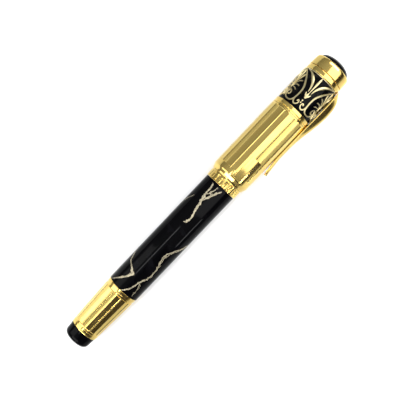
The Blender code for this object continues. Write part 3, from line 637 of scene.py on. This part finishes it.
class PEN_OT_veins(PenPiece, bpy.types.Operator):
    """Pale veins in the lacquer, wandering and forking"""

    bl_idname = "pen.veins"
    bl_label = "Veins"

    # (share of the half width, degrees that it strays) of each strand, and where veins may lie, in mm
    strands = ((1.1, 0.0), (0.6, 4.2))
    first, last, overrun = 0.15, 51.2, 0.1

    def execute(self, context):
        start = ends("barrel_tube")[0]
        on_radius = radius("barrel_tube")
        wander = random.Random(11)
        # each vein's points are (mm from the barrel's start, degrees round, half width in mm)
        hook = [(0.5, -57, 0.09), (3.0, -34, 0.2), (5.3, -18, 0.4), (7.3, -13, 0.46), (8.5, -26, 0.22)]
        hook += [(10.0, -51, 0.2), (11.6, -63, 0.16), (13.2, -74, 0.14), (16.0, -96, 0.1)]
        stream = [(0.2, -1, 0.12), (1.4, 10, 0.22), (3.9, 21, 0.24), (6.3, 25, 0.22), (7.7, 30, 0.24)]
        stream += [(9.1, 38, 0.26), (11.5, 42, 0.2), (14.1, 39, 0.2), (15.6, 34, 0.16), (17.5, 27, 0.12)]
        stream += [(19.2, 24, 0.12), (20.6, 27, 0.14), (23.4, 42, 0.14), (25.7, 61, 0.18), (29.5, 84, 0.12)]
        double = [(14.6, 38, 0.08), (16.6, 35, 0.1), (18.8, 31, 0.12), (20.4, 33, 0.1), (22.6, 43, 0.1)]
        double += [(25.3, 62, 0.08), (27.8, 78, 0.06)]
        branch = [(0.8, 40, 0.06), (3.0, 39.5, 0.09), (5.2, 34, 0.11), (6.6, 27, 0.1)]
        river = [(33.4, -8, 0.1), (34.2, -1, 0.24), (35.2, 2, 0.3), (36.6, 1, 0.28), (38.6, -5, 0.34)]
        river += [(41.4, -9, 0.3), (43.2, -13, 0.36), (44.6, -15, 0.42), (46.0, -19, 0.3), (49.6, -21, 0.24)]
        river += [(51.3, -25, 0.16)]
        fork = [(43.6, -13, 0.2), (45.2, -6, 0.3), (46.6, -2, 0.26), (48.6, 6, 0.3), (51.3, 17, 0.2)]
        cross = [(45.8, -17, 0.12), (47.6, -9, 0.18), (49.2, -4, 0.12), (51.2, -3, 0.08)]
        veins = [hook, stream, double, branch, river, fork, cross]
        # a vein again on the far side: (vein, degrees further round, mm further along)
        back = [(stream, 178, 20.0), (hook, 215, 9.0), (river, 165, -9.0), (fork, 165, -9.0)]
        back += [(branch, 150, 4.0), (double, 240, 16.0)]
        for vein, turn, shift in back:
            moved = [(x + shift, round_by + turn, half) for x, round_by, half in vein]
            veins.append([point for point in moved if point[0] < self.last])
        threads = []
        for vein in veins:
            for share, spread in self.strands:
                strand = []
                for before, after in zip(vein, vein[1:]):
                    for part in (0.0, 0.33, 0.67):
                        x, turn, half = (a + (b - a) * part for a, b in zip(before, after))
                        rough = half * share * wander.uniform(0.6, 1.5)
                        sway = wander.uniform(-0.9, 0.9) + wander.uniform(-spread, spread)
                        strand.append((x + wander.uniform(-0.15, 0.15), turn + sway, rough))
                strand = [point for point in strand if self.first < point[0] < self.last + self.overrun]
                threads.append(thread(round_pen(start, strand, on_radius), 3, 1))
        veins = lay_round(join("barrel_veins", threads), on_radius, 0.03 * MM, 0.05 * MM)
        hand_over(veins, "barrel", "vein_gold", "black_lacquer")
        return {"FINISHED"}


class PEN_OT_barrel_ring(PenPiece, bpy.types.Operator):
    """Gold ring of upright reeds between two lips"""

    bl_idname = "pen.barrel_ring"
    bl_label = "Barrel ring"

    lip = 0.5 * MM
    border = 0.12 * MM
    # shares of half a pitch at which the reeds are shaped
    shares = (0, 0.25, 0.45, 0.62, 0.76, 0.87, 0.95, 1)

    def execute(self, context):
        shape = context.scene.pen_shape
        start, end = ends("barrel_ring")
        wide = radius("barrel_ring")
        bore = radius("barrel_liner") + CLEARANCE
        low, high = start + self.lip, end - self.lip
        corners = [(end, wide), (high, wide), (high - self.border, wide)]
        corners += [(low + self.border, wide), (low, wide), (start, wide)]
        corners += [(start, bore), (end, bore)]
        zone = (low + self.border / 2, high - self.border / 2)
        cuts = [(share, shape.reed_depth * share**4) for share in self.shares]
        ring = fluted("barrel_ring_reeded", corners, zone, shape.reeds, cuts)
        hand_over(ring, "barrel", "polished_gold", "gold", "barrel_ring")
        return {"FINISHED"}


class PEN_OT_cap_tube(PenPiece, bpy.types.Operator):
    """Fluted gold cap with a turned-in lip and a plain band"""

    bl_idname = "pen.cap_tube"
    bl_label = "Cap tube"

    end_band = 0.5 * MM
    border = 0.12 * MM
    # shares of the lip's length at which its curve is drawn
    shares = (0.85, 0.7, 0.52, 0.35, 0.18, 0.06)

    def execute(self, context):
        shape = context.scene.pen_shape
        start, end = ends("cap_tube")
        wide = radius("cap_tube")
        bore = radius("inner_cap") + CLEARANCE
        lip_end = start + shape.lip_length
        zone = (lip_end + shape.cap_band, end - self.end_band)
        corners = [(end, wide), (zone[1], wide), (zone[1] - self.border, wide)]
        corners += [(zone[0] + self.border, wide), (zone[0], wide), (lip_end, wide)]
        for share in self.shares:
            sag = 0.5 + 0.5 * math.cos(math.pi * share)
            corners.append((start + shape.lip_length * share, wide - shape.lip_turn_in * sag))
        corners += [(start, wide - shape.lip_turn_in), (start, bore), (end, bore)]
        inside = (zone[0] + self.border / 2, zone[1] - self.border / 2)
        tube = fluted("cap_tube_fluted", corners, inside, shape.cap_flutes, long_flutes(shape, wide))
        hand_over(tube, "cap", "polished_gold", "gold", "cap_tube")
        return {"FINISHED"}


class PEN_OT_cap_plaque(PenPiece, bpy.types.Operator):
    """Smooth raised tab over two flutes, with an engraved running wave"""

    bl_idname = "pen.cap_plaque"
    bl_label = "Cap plaque"

    proud = 0.26 * MM
    sunk = 0.02 * MM
    edge_round = 0.1 * MM
    steps = 24
    margins = (1.6 * MM, 0.8 * MM)
    # (row's place and crest height as shares of the plaque's width, crests, half width of the line in mm)
    rows = ((-0.25, 0.035, 14, 0.04), (0.24, 0.1, 8, 0.085))

    def execute(self, context):
        low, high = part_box("cap_plaque")
        first = math.atan2(-high.y, high.z)
        last = math.atan2(-low.y, low.z)
        inner = radius("cap_tube") - self.sunk
        outer = radius("cap_tube") + self.proud
        spread = last - first
        obj = start_piece("cap_plaque_tab")
        corners = [(high.x, outer), (low.x, outer), (low.x, inner), (high.x, inner)]
        draw_outline(obj, corners, True, hard=self.edge_round)
        step = spread / self.steps
        spin_round([-step] * self.steps)
        for turn in (0, spread):
            choose(obj, lambda vertex: abs(math.atan2(-vertex.co.y, vertex.co.z) - turn) < step / 4)
            bpy.ops.mesh.edge_face_add()
        close_piece(obj)
        obj.data.transform(Matrix.Rotation(first, 4, "X"))
        hand_over(obj, "cap", "polished_gold", "gold", "cap_plaque")
        lines = []
        middle = (first + last) / 2
        start, run = low.x + self.margins[0], high.x - low.x - sum(self.margins)
        for row, height, crests, half in self.rows:
            count = crests * 4
            wave = []
            for index in range(count + 1):
                across = middle + spread * (row + height * math.sin(index * math.pi / 2))
                wave.append((start + run * index / count, across * outer, half * MM))
            lines.append(thread(wave, 4, 1))
        # the wave lines stand barely proud of the plaque; their dark colour is painted shade for engraved
        # grooves
        wave = lay_round(join("cap_plaque_wave", lines), outer, 0.012 * MM, 0.05 * MM)
        hand_over(wave, "cap", "engraving_painted_shade", "gold")
        return {"FINISHED"}


class PEN_OT_cap_rings(PenPiece, bpy.types.Operator):
    """Collar, enamel band, clip ring, crown ring and black dome"""

    bl_idname = "pen.cap_rings"
    bl_label = "Cap rings"

    def execute(self, context):
        rings = (
            ("cap_collar", "polished_gold", "gold", 0.04 * MM, 0.06 * MM),
            ("frieze_band", "patched_enamel", "black_enamel", 0.0, EDGE_BREAK),
            ("clip_ring", "polished_gold", "gold", 0.12 * MM, 0.06 * MM),
            ("crown_ring", "polished_gold", "gold", 0.35 * MM, 0.06 * MM),
            ("crown_dome", "polished_resin", "black_resin", 0.5 * MM, 0.06 * MM),
        )
        turn_nodes("cap", rings)
        return {"FINISHED"}


class PEN_OT_frieze_relief(PenPiece, bpy.types.Operator):
    """Gold relief on the enamel: three lotus flowers between fan palmettes, on scrolling stems"""

    bl_idname = "pen.frieze_relief"
    bl_label = "Frieze relief"

    repeats = 3
    setback = 0.5 * MM
    boldness = 0.94
    rim_half_width = 0.14 * MM
    rim_height = 0.2 * MM
    sunk = 0.03 * MM

    def half_motif(self):
        """The threads on one side of the flower, as (mm along, degrees round, half width in mm)."""
        leaf = [(6.9, 5.5, 0.1), (9.0, 8.5, 0.38), (11.4, 19, 0.6), (13.1, 37, 0.36), (13.65, 54, 0.12)]
        stem = [(1.9, 22, 0.34), (4.8, 20.5, 0.34), (7.1, 23, 0.4), (9.5, 33, 0.4), (11.7, 46, 0.3)]
        stem += [(13.0, 57, 0.14)]
        barb = [(5.0, 1, 0.3), (5.4, 4, 0.36), (6.5, 8.4, 0.1)]
        scroll_in = [(2.3, 21.8, 0.3), (0.95, 18, 0.3), (0.6, 12.5, 0.28), (1.1, 7, 0.26)]
        scroll_in += [(2.1, 5.4, 0.22), (2.6, 8.2, 0.2), (2.1, 10.4, 0.3), (1.9, 10.2, 0.16)]
        scroll_out = [(2.3, 21.8, 0.3), (0.95, 27, 0.3), (0.55, 35, 0.28), (0.8, 46, 0.28)]
        scroll_out += [(1.9, 54.5, 0.26), (3.3, 55, 0.24), (4.0, 49.5, 0.2), (3.4, 44.6, 0.2)]
        scroll_out += [(2.3, 45, 0.22), (2.2, 48.6, 0.3), (2.4, 49, 0.14)]
        petals = [[(6.3, 58.6, 0.08), (8.8, 54.5, 0.15), (10.9, 48.6, 0.32), (11.5, 46.8, 0.18)]]
        petals += [[(6.0, 57.6, 0.08), (7.8, 50.5, 0.14), (8.6, 41.5, 0.3), (8.7, 38.6, 0.18)]]
        petals += [[(5.7, 57, 0.08), (6.5, 49.5, 0.14), (6.6, 40, 0.27), (6.4, 36.5, 0.18)]]
        petals += [[(5.4, 57, 0.08), (5.3, 49.5, 0.13), (5.0, 41, 0.25), (4.6, 37, 0.16)]]
        tendril = [(5.1, 58.6, 0.1), (4.6, 56.2, 0.11), (3.9, 58.3, 0.1), (3.0, 57.6, 0.12)]
        return [leaf, stem, barb, scroll_in, scroll_out, tendril] + petals

    def middle_motif(self):
        """The threads on the middle lines of the flower and of the palmette."""
        spear = [(6.3, 0, 0.12), (8.5, 0, 0.22), (11.2, 0, 0.48), (12.6, 0, 0.4), (13.7, 0, 0.06)]
        bud = [(4.3, 0, 0.3), (4.8, 0, 0.62), (5.6, 0, 0.55), (6.5, 0, 0.16)]
        beads = [[(2.95, 0, 0.1), (3.3, 0, 0.32), (3.65, 0, 0.1)]]
        beads += [[(2.1, 0, 0.1), (2.4, 0, 0.26), (2.7, 0, 0.1)]]
        plume = [(5.6, 60, 0.16), (9.0, 60, 0.2), (11.8, 60, 0.36), (13.5, 60, 0.08)]
        knot = [(4.7, 60, 0.12), (5.4, 60, 0.42), (6.2, 60, 0.14)]
        foot = [(0.9, 60, 0.08), (1.6, 60, 0.24), (2.4, 60, 0.08)]
        return [spear, bud, plume, knot, foot] + beads

    def execute(self, context):
        shape = context.scene.pen_shape
        start, end = ends("frieze_band")
        start += self.setback
        on_radius = radius("frieze_band")
        courses = self.middle_motif()
        for points in self.half_motif():
            courses += [points, [(x, -turn, half) for x, turn, half in points]]
        threads = []
        for points in courses:
            line = [(x, turn, half * self.boldness) for x, turn, half in points]
            threads.append(thread(round_pen(start, line, on_radius)))
        motif = join("frieze_relief_threads", threads)
        pitch = math.tau * on_radius / self.repeats
        copies = [copy_of(motif, (0, index * pitch, 0)) for index in range(1, self.repeats)]
        relief = join("frieze_relief_threads", [motif] + copies)
        lay_round(relief, on_radius, shape.relief_height)
        inner, shoulder = on_radius - self.sunk, on_radius + self.rim_height / 2
        middle, low = end - self.rim_half_width, end - 2 * self.rim_half_width
        corners = [(end, inner), (end, shoulder), (middle, on_radius + self.rim_height)]
        corners += [(low, shoulder), (low, inner)]
        rim = turned("frieze_rim", corners, True, soft=0.05 * MM)
        relief = join("frieze_relief_threads", [relief, rim])
        hand_over(relief, "cap", "relief_gold", "gold", "frieze_relief")
        return {"FINISHED"}


class PEN_OT_clip(PenPiece, bpy.types.Operator):
    """Hooded sprung clip with rims along its edges and a turned-out tip"""

    bl_idname = "pen.clip"
    bl_label = "Clip"

    # (mm from the crown end, crest, lower edge, half width): crest and edge stand over the cap's side
    line = (
        (0.2, 0.06, -0.12, 1.9),
        (1.2, 0.72, -0.04, 2.2),
        (2.2, 1.35, 0.02, 2.5),
        (3.5, 2.2, 0.08, 2.8),
        (5.0, 2.72, 0.14, 2.95),
        (6.5, 3.0, 0.18, 3.0),
        (9.4, 3.17, 0.2, 2.95),
        (12.3, 2.96, 0.18, 2.82),
        (15.3, 2.6, 0.14, 2.65),
        (18.2, 2.14, 0.12, 2.45),
        (21.1, 1.6, 0.1, 2.25),
        (24.1, 1.22, 0.1, 2.1),
        (27.0, 1.12, 0.1, 1.95),
        (30.0, 1.06, 0.1, 1.8),
        (32.9, 1.06, 0.14, 1.65),
        (35.8, 1.34, 0.4, 1.5),
        (38.0, 1.62, 0.66, 1.38),
        (39.6, 1.84, 0.86, 1.2),
        (40.4, 1.95, 1.0, 0.85),
    )
    # (share of the height, share of the half width) from an edge to the crest
    hood = ((0.0, 1.0), (0.14, 0.9), (0.3, 0.79), (0.5, 0.65), (0.72, 0.49), (0.9, 0.32), (1.0, 0.12))

    lowest = 0.15 * MM
    rim_lift = 0.06
    rim_inset = 0.08
    rim_start = 0.35
    fold_angle = math.radians(40)
    foot_back = 32.9
    foot_radius = 0.55 * MM
    foot_height = 0.5 * MM

    def section(self, station, crest, edge, half, wall, on_radius):
        """One hooded section: over the outside, then back under the hollow."""
        outside = list(self.hood) + [(up, -side) for up, side in reversed(self.hood)]
        tall = max(crest - edge, self.lowest)
        low_wall = min(wall, tall * 0.6)
        loop = [(edge + tall * up, half * side) for up, side in outside]
        for up, side in reversed(outside):
            loop.append((edge + (tall - low_wall) * up, (half - wall * 0.8) * side))
        return [Vector((station, -(on_radius + out), side)) for out, side in loop]

    def execute(self, context):
        shape = context.scene.pen_shape
        on_radius = radius("cap_tube")
        far = ends("clip")[1]
        sections = []
        for back, crest, edge, half in self.line:
            sizes = (crest * MM, edge * MM, half * MM)
            sections.append(self.section(far - back * MM, *sizes, shape.clip_wall, on_radius))
        obj = start_piece("clip_hood")
        bpy.ops.transform.translate(value=sections[0][0])
        for before, after in zip(sections[0], sections[0][1:] + sections[0][:1]):
            bpy.ops.mesh.extrude_vertices_move(TRANSFORM_OT_translate={"value": after - before})
        weld_all()
        for before, after in zip(sections, sections[1:]):
            step = (after[0].x - before[0].x, 0, 0)
            bpy.ops.mesh.extrude_region_move(TRANSFORM_OT_translate={"value": step})
            mesh = bmesh.from_edit_mesh(obj.data)
            chosen = [vertex for vertex in mesh.verts if vertex.select]
            for vertex in chosen:
                nearest = min(range(len(before)), key=lambda i: (before[i] - vertex.co).yz.length)
                vertex.co = after[nearest]
            bmesh.update_edit_mesh(obj.data)
        for station in (sections[0][0].x, sections[-1][0].x):
            choose(obj, lambda vertex: abs(vertex.co.x - station) < 10 * WELD)
            bpy.ops.mesh.edge_face_add()
        close_piece(obj)
        bpy.ops.object.modifier_add(type="SUBSURF")
        modifier = obj.modifiers[-1]
        modifier.levels = 1
        modifier.render_levels = 1
        bpy.ops.object.modifier_apply(modifier=modifier.name)
        rims = [self.rim(shape.clip_rim, side, far, on_radius) for side in (-1, 1)]
        clip = join("clip_hood", [obj] + rims + [self.foot(far, on_radius)])
        bpy.ops.object.shade_smooth_by_angle(angle=self.fold_angle)
        hand_over(clip, "clip", "polished_gold", "gold", "clip")
        return {"FINISHED"}

    def rim(self, size, side, far, on_radius):
        """A raised wire along one lower edge, thinner at the root."""
        points = []
        for back, _, edge, half in self.line[2:]:
            out, across = (edge + self.rim_lift) * MM, side * (half - self.rim_inset) * MM
            points.append(((far - back * MM, -(on_radius + out), across), size))
        points[0] = (points[0][0], size * self.rim_start)
        return wire(points, 5)

    def foot(self, far, on_radius):
        """A low rounded foot under the arm, which presses on the cap."""
        bpy.ops.object.select_all(action="DESELECT")
        size = self.foot_radius
        place = (far - self.foot_back * MM, -(on_radius + self.foot_height), 0)
        bpy.ops.mesh.primitive_uv_sphere_add(segments=24, ring_count=12, radius=size, location=place)
        bpy.ops.object.mode_set(mode="EDIT")
        bpy.ops.transform.resize(value=(1.6, 0.75, 1.3), center_override=place, orient_type="GLOBAL")
        bpy.ops.object.mode_set(mode="OBJECT")
        bpy.ops.object.transform_apply(location=True, rotation=True, scale=True)
        return bpy.context.object


class PEN_OT_section(PenPiece, bpy.types.Operator):
    """Writing section: threaded coupling, rubber ring, trim ring, waisted grip and nose cone"""

    bl_idname = "pen.section"
    bl_label = "Section"

    thread_depth = 0.3 * MM
    lead_in = 1.0 * MM
    run_out = 1.2 * MM
    least_step = 0.2 * MM
    past_bore = 3.8 * MM

    def coupling(self, pitch):
        """The coupling's outline with a turned thread on its rear half."""
        corners, closed = meridian_outline("section_coupling")
        crest = radius("section_coupling")
        start = ends("section_coupling")[0] + self.lead_in
        steps = [x for x, r in corners if x > start and self.past_bore < r < crest - self.least_step]
        teeth = []
        for index in range(int((min(steps) - self.run_out - start) / pitch)):
            station = start + index * pitch
            teeth += [(station, crest), (station + pitch / 2, crest - self.thread_depth)]
        teeth.append((teeth[-1][0] + pitch / 2, crest))
        for index, (before, after) in enumerate(zip(corners, corners[1:] + corners[:1])):
            on_crest = all(abs(r - crest) < 10 * WELD for _, r in (before, after))
            if on_crest and min(before[0], after[0]) < start:
                run = teeth if before[0] < after[0] else teeth[::-1]
                return corners[: index + 1] + run + corners[index + 1 :], closed
        raise RuntimeError("the coupling has no plain length for its thread")

    def execute(self, context):
        corners, closed = self.coupling(context.scene.pen_shape.thread_pitch)
        coupling = turned("section_coupling_threaded", corners, closed)
        hand_over(coupling, "section", "turned_brass", "brass", "section_coupling")
        pieces = (
            ("section_o_ring", "seal_rubber", "rubber", 0.2 * MM, 0.2 * MM),
            ("section_ring", "polished_gold", "gold", 0.1 * MM, 0.05 * MM),
            ("grip_section", "polished_resin", "black_resin", 1.5 * MM, 0.15 * MM),
            ("nose_cone", "polished_gold", "gold", 0.8 * MM, 0.1 * MM),
        )
        turn_nodes("section", pieces)
        return {"FINISHED"}


class PEN_OT_refill(PenPiece, bpy.types.Operator):
    """Refill: steel tube, plug, stepped nose, point and ball"""

    bl_idname = "pen.refill"
    bl_label = "Refill"

    def execute(self, context):
        tube = ("refill_tube", "bright_steel", "steel", 0.0, 0.08 * MM)
        nose = ("refill_nose", "dark_plastic", "inner_plastic", 0.0, 0.1 * MM)
        turn_nodes("refill", (tube, nose), SMALL_TURN_STEPS)
        refinish("refill_point", "bright_steel")
        refinish("refill_ball", "bright_steel")
        refinish("refill_plug", "pale_plastic")
        return {"FINISHED"}


class PEN_OT_refill_spring(PenPiece, bpy.types.Operator):
    """Fine coil spring behind the refill"""

    bl_idname = "pen.refill_spring"
    bl_label = "Refill spring"

    wire_radius = 0.2 * MM
    turns = 5
    steps = 12

    def execute(self, context):
        start, end = ends("refill_spring")
        coil = radius("refill_spring") - self.wire_radius
        run = end - start - 2 * self.wire_radius
        count = self.turns * self.steps
        points = []
        for index in range(count + 1):
            turn = math.tau * index / self.steps
            station = start + self.wire_radius + run * index / count
            points.append(((station, coil * math.sin(turn), coil * math.cos(turn)), self.wire_radius))
        spring = wire(points, 2, 3)
        spring.name = "refill_spring_coil"
        bpy.ops.object.shade_smooth_by_angle(angle=SMOOTH_ANGLE)
        hand_over(spring, "barrel", "bright_steel", "steel", "refill_spring")
        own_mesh(spring)
        return {"FINISHED"}


class PEN_OT_inside(PenPiece, bpy.types.Operator):
    """Pieces inside barrel and cap: studs, washer, core, inner cap and clutch"""

    bl_idname = "pen.inside"
    bl_label = "Inside"

    def execute(self, context):
        lining = ("inner_cap", "dark_plastic", "inner_plastic", 0.1 * MM, EDGE_BREAK)
        clutch = ("cap_clutch", "bright_steel", "steel", 0.3 * MM, EDGE_BREAK)
        turn_nodes("cap", (lining, clutch))
        for node, finish in (
            ("tail_stud", "turned_brass"),
            ("cap_core", "turned_brass"),
            ("crown_stud", "turned_brass"),
            ("crown_washer", "bright_steel"),
        ):
            refinish(node, finish)
        return {"FINISHED"}


# ------------------------------------------------------------ stage


class PEN_OT_studio(PenPiece, bpy.types.Operator):
    """Pale floor, softboxes and the camera over the pen"""

    bl_idname = "pen.studio"
    bl_label = "Studio"

    aim = Vector((69.1 * MM, 2.0 * MM, 0))
    nadir = 76.9 * MM
    floor_size = 8.0
    floor_gap = 0.05 * MM
    # (name, place, size, brightness in softboxes); face_pen and softbox say how the numbers run
    lamps = (
        ("cap_softbox", (0.36, 0.46, 1.0), (0.66, 1.4), 1.0),
        ("tail_softbox", (-0.5, -0.95, 0.9), (0.5, 1.1), 1.0),
        ("over_crown_softbox", (0.85, 0.0, 0.95), (0.6, 1.4), 2.4),
        ("over_tail_softbox", (-0.95, 0.0, 0.95), (0.6, 1.4), 2.4),
        ("barrel_strip", (-0.2, -0.155, 1.0), (0.3, 0.05), 9.0),
        ("side_strip", (-0.045, 0.8, 0.4), (0.14, 0.05), 9.0),
    )
    cards = (
        ("tail_card", (-0.36, 0.68, 0.73), (0.4, 1.4)),
        ("side_card", (0.3, 0.9, 0.35), (1.4, 0.44)),
    )

    def floor(self):
        """A pale satin floor just under the pen."""
        bpy.ops.object.select_all(action="DESELECT")
        place = (self.aim.x, 0, CAD_BOX[0].z - self.floor_gap)
        bpy.ops.mesh.primitive_plane_add(size=self.floor_size, location=place)
        floor = bpy.context.object
        floor.name = "floor"
        material, tree, shader, place = new_material("floor_satin", metallic=0.9)
        clouds = grain(tree, place, 3)
        blend_colours(tree, shader, clouds, [(0.3, (0.91, 0.91, 0.91)), (0.7, (0.93, 0.93, 0.93))])
        shader.inputs["Roughness"].default_value = 0.5
        floor.data.materials.append(material)

    def face_pen(self, obj, along, across, height):
        """Sets a thing at a place over the pen (along it, towards the clip, up) and faces it to the pen."""
        spot = self.aim + Vector((along, -across, height))
        back = (spot - self.aim).normalized()
        across_pen = back.cross(Vector((1, 0, 0))).normalized()
        turn = Matrix((across_pen.cross(back), across_pen, back)).transposed()
        obj.matrix_world = Matrix.Translation(spot) @ turn.to_4x4()

    def softbox(self, name, place, size, radiance):
        """A rectangular light with an even glow; the size is (along the pen, across it)."""
        bpy.ops.object.light_add(type="AREA")
        lamp = bpy.context.object
        lamp.name = name
        lamp.data.shape = "RECTANGLE"
        lamp.data.size, lamp.data.size_y = size
        lamp.data.energy = radiance * math.pi * size[0] * size[1]
        self.face_pen(lamp, *place)

    def dark_card(self, name, place, size):
        """A dark card, which gives the metal its deep tones."""
        bpy.ops.object.select_all(action="DESELECT")
        bpy.ops.mesh.primitive_plane_add(size=1)
        card = bpy.context.object
        card.name = name
        self.face_pen(card, *place)
        card.data.transform(Matrix.Diagonal((*size, 1, 1)))
        card.data.materials.append(material_called("card_paint"))

    def camera(self, studio):
        """The camera over the pen, which slants in its view."""
        top = Vector((math.sin(studio.lean), math.cos(studio.lean), 0))
        spot = Vector((self.nadir, 0, studio.height))
        bpy.ops.object.camera_add(location=spot)
        camera = bpy.context.object
        camera.name = "view"
        back = (spot - self.aim).normalized()
        across = top.cross(back).normalized()
        up = back.cross(across)
        camera.matrix_world = Matrix.Translation(spot) @ Matrix((across, up, back)).transposed().to_4x4()
        camera.data.sensor_width = 36
        camera.data.lens_unit = "FOV"
        camera.data.angle = studio.view_angle
        camera.data.clip_start = 0.005
        bpy.context.scene.camera = camera

    def surround(self, strength):
        """White light from all round, stronger from above."""
        world = bpy.data.worlds.new("surround")
        bpy.context.scene.world = world
        world.use_nodes = True
        tree = world.node_tree
        background = tree.nodes["Background"]
        background.inputs["Color"].default_value = (1, 1, 1, 1)
        direction = add_node(tree, "TexCoord", {}, {})
        split = add_node(tree, "SeparateXYZ", {"Vector": direction.outputs["Generated"]}, {})
        limits = {"To Min": 0.5 * strength, "To Max": 1.15 * strength}
        spread = add_node(tree, "MapRange", {"Value": split.outputs["Z"]}, limits)
        tree.links.new(spread.outputs["Result"], background.inputs["Strength"])

    def execute(self, context):
        studio = context.scene.pen_studio
        self.floor()
        for name, place, size, brightness in self.lamps:
            self.softbox(name, place, size, brightness * studio.softbox)
        for card in self.cards:
            self.dark_card(*card)
        self.camera(studio)
        self.surround(studio.surround)
        context.scene.view_settings.view_transform = "Standard"
        return {"FINISHED"}


PIECES = (
    PEN_OT_tail_cap,
    PEN_OT_tail_sleeve,
    PEN_OT_barrel,
    PEN_OT_veins,
    PEN_OT_barrel_ring,
    PEN_OT_cap_tube,
    PEN_OT_cap_plaque,
    PEN_OT_cap_rings,
    PEN_OT_frieze_relief,
    PEN_OT_clip,
    PEN_OT_section,
    PEN_OT_refill,
    PEN_OT_refill_spring,
    PEN_OT_inside,
    PEN_OT_studio,
)


class PEN_PT_panel(bpy.types.Panel):
    """Lists the pen's sizes, its colours and its pieces"""

    bl_idname = "PEN_PT_panel"
    bl_label = "Rollerball pen"
    bl_space_type = "VIEW_3D"
    bl_region_type = "UI"
    bl_category = "Pen"

    def draw(self, context):
        scene = context.scene
        for group in (scene.pen_shape, scene.pen_finish, scene.pen_studio):
            box = self.layout.box()
            for name in group.bl_rna.properties.keys():
                if name not in ("rna_type", "name"):
                    box.prop(group, name)
        for piece in PIECES:
            self.layout.operator(piece.bl_idname)


GROUPS = {"pen_shape": PenShape, "pen_finish": PenFinish, "pen_studio": PenStudio}


def register():
    """Adds the pen's properties, operators and panel."""
    for group in GROUPS.values():
        bpy.utils.register_class(group)
    for piece in PIECES:
        bpy.utils.register_class(piece)
    bpy.utils.register_class(PEN_PT_panel)
    for name, group in GROUPS.items():
        setattr(bpy.types.Scene, name, bpy.props.PointerProperty(type=group))


def unregister():
    """Takes them away again."""
    for name in GROUPS:
        delattr(bpy.types.Scene, name)
    bpy.utils.unregister_class(PEN_PT_panel)
    for piece in reversed(PIECES):
        bpy.utils.unregister_class(piece)
    for group in GROUPS.values():
        bpy.utils.unregister_class(group)


def main():
    """Makes every piece in order."""
    register()
    for piece in PIECES:
        group, _, name = piece.bl_idname.partition(".")
        getattr(getattr(bpy.ops, group), name)()


if __name__ == "__main__":
    main()
